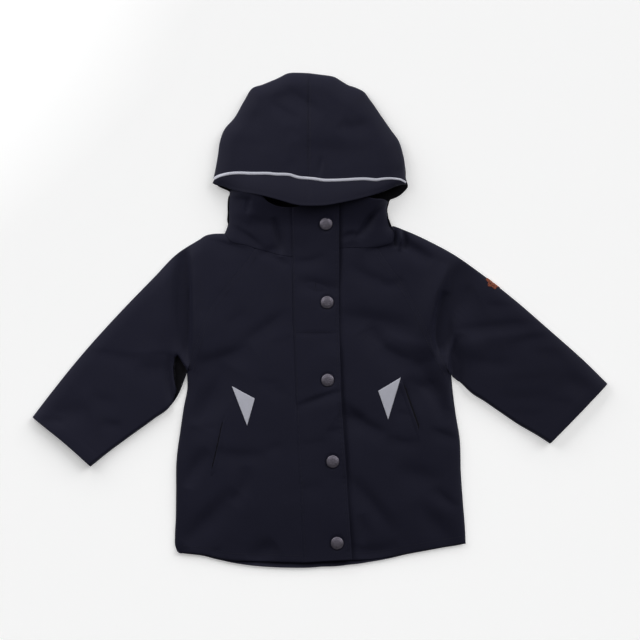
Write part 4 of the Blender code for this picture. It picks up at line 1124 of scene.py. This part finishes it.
def pocket_welt(side):
    """A narrow welt beside the pocket's mouth, and the strip of pocket lining that shows in the mouth, painted
    near-black as the shade inside the pocket.

    Its rows run across it: over that dark strip beside the mouth, up the welt's free edge, and over the welt to
    its sewn edge, which sinks into the front. The mouth gapes most in the middle of its open stretch.
    """
    start, end, gape = MOUTHS[side]
    way = SIDES[side]
    line = at(LINES[f"pocket_{side}"], np.linspace(0, 1, 80))
    run = lengths(line)[-1]
    v = spaced(run, 1.5, (0, 0.5), (0, 0.5))
    u = np.array([0.0, 0.03, 0.08, 0.16, 0.3, 0.45, 0.6, 0.8, 1.0])
    proud = gaping(v * run, start, end)[:, None]
    ends = (step_up(v * run, 0, 4) * (1 - step_up(v * run, run - 4, run)))[:, None]
    across = np.concatenate([-gape * proud * [1.0, 0.12] - [0.06, 0.03], WELT_WIDTH * u + 0 * proud], axis=1)
    share = across / WELT_WIDTH
    xy = at(line, v)[:, None] + across[..., None] * [way, 0]
    z = coat_height(xy + [1.2 * way, 0]) - 0.2 + 0.28 * ends * (1 - step_up(share, 0.4, 1.0))
    z = z + 0.4 * gape * proud * (1 - step_up(share, 0.0, 0.9)) - 0.2 * (1 - ellipse(np.abs(across), 0.6))
    z[:, :2] = coat_height(xy[:, :2]) + [0.02, 0.10] * proud - 0.25 * (1 - proud)
    welt = cloth(
        f"pocket_welt_{side}_cloth", raised(xy, z), (10, run + 2), (f"front_{side}_cloth",), f"pocket_welt_{side}",
        WELT_WALL,
    )
    # The strip in the mouth takes the inner cloth, near-black as painted shade
    shades = np.zeros((len(v) - 1, across.shape[1] - 1), np.int32)
    shades[:, 0] = 1
    welt.data.polygons.foreach_set("material_index", shades.ravel())


def reflector(side):
    """A reflective triangle: rows that narrow from its top edge to its lowest tip, following the cloth."""
    outer, inner, tip = np.array(REFLECTORS[side])
    v = np.concatenate([[0.0, 0.006, 0.02], np.linspace(0.05, 0.97, 26), [0.985, 0.995]])[:, None, None]
    u = np.concatenate([[0.0, 0.012, 0.04], np.linspace(0.09, 0.91, 18), [0.96, 0.988, 1.0]])[None, :, None]
    xy = (outer * (1 - u) + inner * u) * (1 - v) + tip * v
    rim = np.minimum(np.minimum(u, 1 - u) * 30 * (1 - v), v * 30)[..., 0]
    z = coat_height(xy) + 0.45 + 0.18 * ellipse(rim, 0.7)
    cloth(
        f"reflector_{side}_tape", raised(xy, z), (33, 52), (f"front_{side}_cloth",), f"reflector_{side}", TAPE_WALL,
        "reflective_grey", "reflective_grey",
    )


def snap_cap(number, x, y):
    """A snap cap: a domed profile with a rolled rim, turned round its axis, and a pressed ring of petals.

    The petals are a cosine of seven times the angle, as high as a bell over the radius lets them be.
    """
    profile = np.array(SNAP_PROFILE)
    turn = np.linspace(0, 2 * np.pi, 56, endpoint=False)
    petals = 0.05 * bell(profile[:, :1] - 0.42, 0.15) * np.cos(7 * turn + 0.7 * number)
    level = (profile[:, 1:] + petals) * SNAP_HEIGHT
    ring = profile[:, :1] * SNAP_RADIUS
    points = np.stack([ring * np.cos(turn), ring * np.sin(turn), level], axis=-1).reshape(-1, 3)
    points = np.vstack([points, [0, 0, SNAP_HEIGHT], [0, 0, 0]])
    faces = grid_quads(len(ring), 56, ring=True)[:, ::-1].tolist()
    here, after, last = np.arange(56), np.roll(np.arange(56), -1), (len(ring) - 1) * 56
    top, bottom = np.full(56, len(points) - 2), np.full(56, len(points) - 1)
    faces += np.stack([top, here, after], axis=1).tolist()
    faces += np.stack([bottom, last + after, last + here], axis=1).tolist()
    base = float(flap_height(np.array([[x, y]]))[0]) - 0.15
    add_piece(f"snap_cap_{number}", points + [x, y, base], faces, ("gunmetal",), "gunmetal", f"snap_{number}")


def threads(name, start, end, material, radius, slot=None):
    """Short rounded threads from start to end, half sunk in the cloth.

    Each is a six-sided spindle: rings of points round its axis, whose radius swells and closes again.
    """
    centre, head = (start + end) / 2, (end - start) / 2
    side = np.cross([0.0, 0.0, 1.0], head)
    side /= np.linalg.norm(side, axis=1)[:, None]
    up = np.cross(head, side)
    up /= np.linalg.norm(up, axis=1)[:, None]
    turn = np.linspace(0, 2 * np.pi, 6, endpoint=False)[:, None]
    stops, swells = np.array([-0.92, -0.45, 0.45, 0.92]), np.array([0.55, 1.0, 1.0, 0.55])
    around = side[:, None, None] * np.cos(turn) + up[:, None, None] * np.sin(turn)
    rings = centre[:, None, None] + head[:, None, None] * stops[:, None, None]
    rings = rings + radius * swells[:, None, None] * around + [0, 0, 0.4 * radius]
    tips = np.stack([centre - head, centre + head], axis=1) - [0, 0, 0.5 * radius]
    points = np.concatenate([rings.reshape(len(centre), -1, 3), tips], axis=1)
    base = (np.arange(len(centre)) * points.shape[1])[:, None, None]
    faces = (grid_quads(4, 6, ring=True) + base).reshape(-1, 4).tolist()
    here, after = np.arange(6), np.roll(np.arange(6), -1)
    caps = np.concatenate([
        np.stack([np.full(6, 24), after, here], axis=1), np.stack([np.full(6, 25), 18 + here, 18 + after], axis=1)
    ])
    faces += (caps + base).reshape(-1, 3).tolist()
    add_piece(name, points.reshape(-1, 3), faces, (material,), slot)


def stitches(name, rows, height):
    """Rows of stitches: threads end to end along each path, at the cloth's height."""
    starts, ends = [], []
    for row in rows:
        run = lengths(row)[-1]
        count = max(1, int(run / STITCH_PITCH))
        middle, half = (np.arange(count) + 0.5) / count, STITCH / 2 / run
        start, end = at(row, middle - half), at(row, middle + half)
        starts.append(raised(start, height(start)))
        ends.append(raised(end, height(end)))
    threads(name, np.vstack(starts), np.vstack(ends), "thread", 0.17, "navy_shell")


def motif():
    """An embroidered rosette that lies over the left sleeve's top fold, plain in pattern.

    Its threads run outwards from its middle in three rings, and the outer ring's length follows the
    cosine of the angle, which makes its petals. Its own flat coordinates (along the fold and across it)
    are wrapped over the fold by the length of the sleeve's section, a quarter ellipse above the fold.
    """
    fold = LINES["sleeve_top_left"]
    middle = nearest(fold, np.array([MOTIF_AT]), 60.0)[1][0]
    inwards = np.linspace(0, TOP_ROUND, 400)
    section = lengths(np.stack([inwards, (COAT_TOP - FOLD_HEIGHT) * ellipse(inwards, TOP_ROUND)], axis=1))
    sides = np.arange(75) * 2 * np.pi / 75
    draw = np.random.default_rng(8)
    starts, ends, darker = [], [], []
    for ring, (low, high, petal, every) in enumerate(MOTIF_RINGS):
        angle = sides + ring * 0.04 + draw.uniform(-0.02, 0.02, len(sides))
        outer = MOTIF_RADIUS * (high - petal * (1 - np.cos(7 * angle)) / 2)
        tips = []
        for reach in (MOTIF_RADIUS * low, outer + draw.uniform(-0.25, 0.25, len(sides))):
            along, across = middle + reach * np.cos(angle), reach * np.sin(angle) + MOTIF_SHIFT
            place = at(fold, along / lengths(fold)[-1])
            ahead = at(fold, (along + 1) / lengths(fold)[-1]) - place
            inward = np.stack([ahead[:, 1], -ahead[:, 0]], axis=1) / np.linalg.norm(ahead, axis=1)[:, None]
            depth = np.interp(across, section, inwards)
            flat = place + inward * depth[:, None]
            upper = brought_down(coat_height(flat), FOLD_HEIGHT, ellipse(depth, TOP_ROUND))
            z = np.where(across > 0, upper, FOLD_HEIGHT + across * 0.8) + 0.15
            tips.append(raised(flat + inward * np.where(across < 0, -0.25, -0.15)[:, None], z))
        kept = (tips[0][:, 2] > 1.2) & (tips[1][:, 2] > 1.2) & (np.arange(len(sides)) % every == 0)
        starts.append(tips[0][kept])
        ends.append(tips[1][kept])
        darker.append(np.arange(kept.sum()) % 5 == ring)
    start, end, dark = np.vstack(starts), np.vstack(ends), np.concatenate(darker)
    threads("sleeve_motif", start[~dark], end[~dark], "rust", 0.42)
    threads("sleeve_motif_dark", start[dark], end[dark], "rust_dark", 0.38)


# ---------------------------------------------------------------- the coat

FINISH = make_finishes()
LINES = {name: spline(table) for name, table in OUTLINES.items()}
SEAMS = [(LINES[name], depth) for name, depth in SEAM_DEPTHS]
HOOD_OUTLINE = np.vstack([
    LINES["brim_edge"][:1], LINES["hood_fold_right"], LINES["hood_fold_left"][::-1], LINES["brim_edge"][-1:],
])

back_panel()
for side in SIDES:
    front_panel(side)
storm_flap()
for make in (collar, sleeve, hood_half):
    for side in SIDES:
        make(side)
hood_piping()
hood_brim()
for make in (pocket_welt, reflector):
    for side in SIDES:
        make(side)
for number, (x, y) in enumerate(SNAPS, start=1):
    snap_cap(number, x, y)

# Topstitching: rows beside the seams and edges
raglans, hems, cuffs = [], [], []
for side, way in SIDES.items():
    raglan, hem, cuff = lines(side, "raglan", "hem_front", "cuff")
    raglans += [cut(offset(raglan, away * way), 2, 3) for away in (1.4, 6.6)]
    hems.append(cut(offset(hem, 9.0 * way), 3, 2))
    cuffs.append(cut(offset(cuff, CUFF_HEM * way), 5, 6))
y = np.linspace(FLAP_TOP_Y - 6, FLAP_HEM_Y + 4, 160)
flap_rows = [np.stack([flap_x(y, edge) + inward, y], axis=1) for edge, inward in ((1, 2.6), (2, -3.2))]
y = np.linspace(296, 190, 80)
hood_rows = [np.stack([HOOD_CREST[0] + away + 0 * y, y], axis=1) for away in (-2.0, 2.0)]
stitches("raglan_topstitching", raglans, coat_height)
stitches("hem_topstitching", hems, coat_height)
stitches("flap_topstitching", flap_rows + [spline(FLAP_CROSS_SEAM)], flap_height)
stitches("cuff_topstitching", cuffs, coat_height)
stitches("hood_topstitching", hood_rows, hood_height)
motif()


# ---------------------------------------------------------------- floor, light and camera


def far_light(name, compass, elevation, spread, strength):
    """A far, broad light: it comes from this compass angle (0 is +Y, 90 is -X) and height above the floor."""
    light = bpy.data.lights.new(name, "SUN")
    light.angle = math.radians(spread)
    light.energy = strength
    obj = link(name, light)
    obj.rotation_euler = Euler((math.radians(elevation - 90), 0, math.radians(compass)))
    obj.location = obj.rotation_euler.to_matrix() @ Vector((0, 0, 3))


def lamp_reach(xy):
    """How much light the square lamp, which faces the middle of the floor, throws there for a radiance of 1.

    It is the sum over 6 by 6 parts of the lamp of both cosines over the distance squared.
    """
    facing_to = -LAMP_SPOT / np.linalg.norm(LAMP_SPOT)
    across = np.cross(facing_to, [0.0, 0.0, 1.0])
    across /= np.linalg.norm(across)
    steps = ((np.arange(6) + 0.5) / 6 - 0.5) * LAMP_SIZE
    a, b = np.meshgrid(steps, steps)
    parts = LAMP_SPOT + a.reshape(-1, 1) * across + b.reshape(-1, 1) * np.cross(across, facing_to)
    ray = raised(xy, 0.0)[..., None, :] - parts
    distance = np.linalg.norm(ray, axis=-1)
    return ((ray @ facing_to) * -ray[..., 2] / distance**4).mean(axis=-1) * LAMP_SIZE**2


def near_lamp():
    """A square lamp over the table that lights the middle of the floor with LAMP_LEVEL watts a square metre."""
    light = bpy.data.lights.new("lamp", "AREA")
    light.shape = "SQUARE"
    light.size = LAMP_SIZE
    light.energy = LAMP_LEVEL / float(lamp_reach(np.zeros(2))) * math.pi * LAMP_SIZE**2
    obj = link("lamp", light)
    obj.location = LAMP_SPOT
    obj.rotation_euler = Vector(LAMP_SPOT).to_track_quat("Z", "Y").to_euler()


def floor():
    """A wide pale floor that gives off part of its own light, like a lit table, so that shadows stay soft.

    Its glow makes up for the lamp's falling off, so that the open floor is equally bright all over.
    """
    line = 6 * np.sinh(np.linspace(-3.2, 3.2, 81)) / math.sinh(3.2)
    xy = np.stack(np.meshgrid(line, line), axis=-1)
    mesh = bpy.data.meshes.new("floor")
    mesh.from_pydata(raised(xy, 0.0).reshape(-1, 3).tolist(), [], grid_quads(81, 81).tolist())
    even = sum(strength * math.sin(math.radians(height)) for _, height, _, strength in FAR_LIGHTS)
    light = even + math.pi * ROOM_LIGHT + LAMP_LEVEL * lamp_reach(xy) / lamp_reach(np.zeros(2))
    values = np.ones((81 * 81, 4), np.float32)
    values[:, :3] = np.clip(FLOOR_RADIANCE - FLOOR[0] / math.pi * light, 0.05, 1).reshape(-1, 1)
    mesh.color_attributes.new("glow", "FLOAT_COLOR", "POINT").data.foreach_set("color", values.ravel())
    material = bpy.data.materials.new("pale_floor")
    material.use_nodes = True
    tree = material.node_tree
    shader = tree.nodes["Principled BSDF"].inputs
    values = {"Base Color": (*FLOOR, 1), "Roughness": 1, "Specular IOR Level": 0, "Emission Strength": 1}
    for key, value in values.items():
        shader[key].default_value = value
    tree.links.new(add_node(tree, "Attribute", attribute_name="glow").outputs["Color"], shader["Emission Color"])
    mesh.materials.append(material)
    link("floor", mesh)


floor()
near_lamp()
for number, light in enumerate(FAR_LIGHTS, start=1):
    far_light(f"far_{number}", *light)
world = bpy.data.worlds.new("room")
bpy.context.scene.world = world
world.use_nodes = True
world.node_tree.nodes["Background"].inputs["Color"].default_value = (1, 1, 1, 1)
world.node_tree.nodes["Background"].inputs["Strength"].default_value = ROOM_LIGHT

camera = bpy.data.cameras.new("camera")
camera.lens = LENS
camera.sensor_width = SENSOR
camera.clip_start, camera.clip_end = 0.1, 50.0
eye = link("camera", camera)
eye.location = (0.0, 0.0, VIEW_WIDTH * LENS / SENSOR)
bpy.context.scene.camera = eye
bpy.context.scene.view_settings.view_transform = "Standard"
bpy.context.scene.view_settings.look = "None"
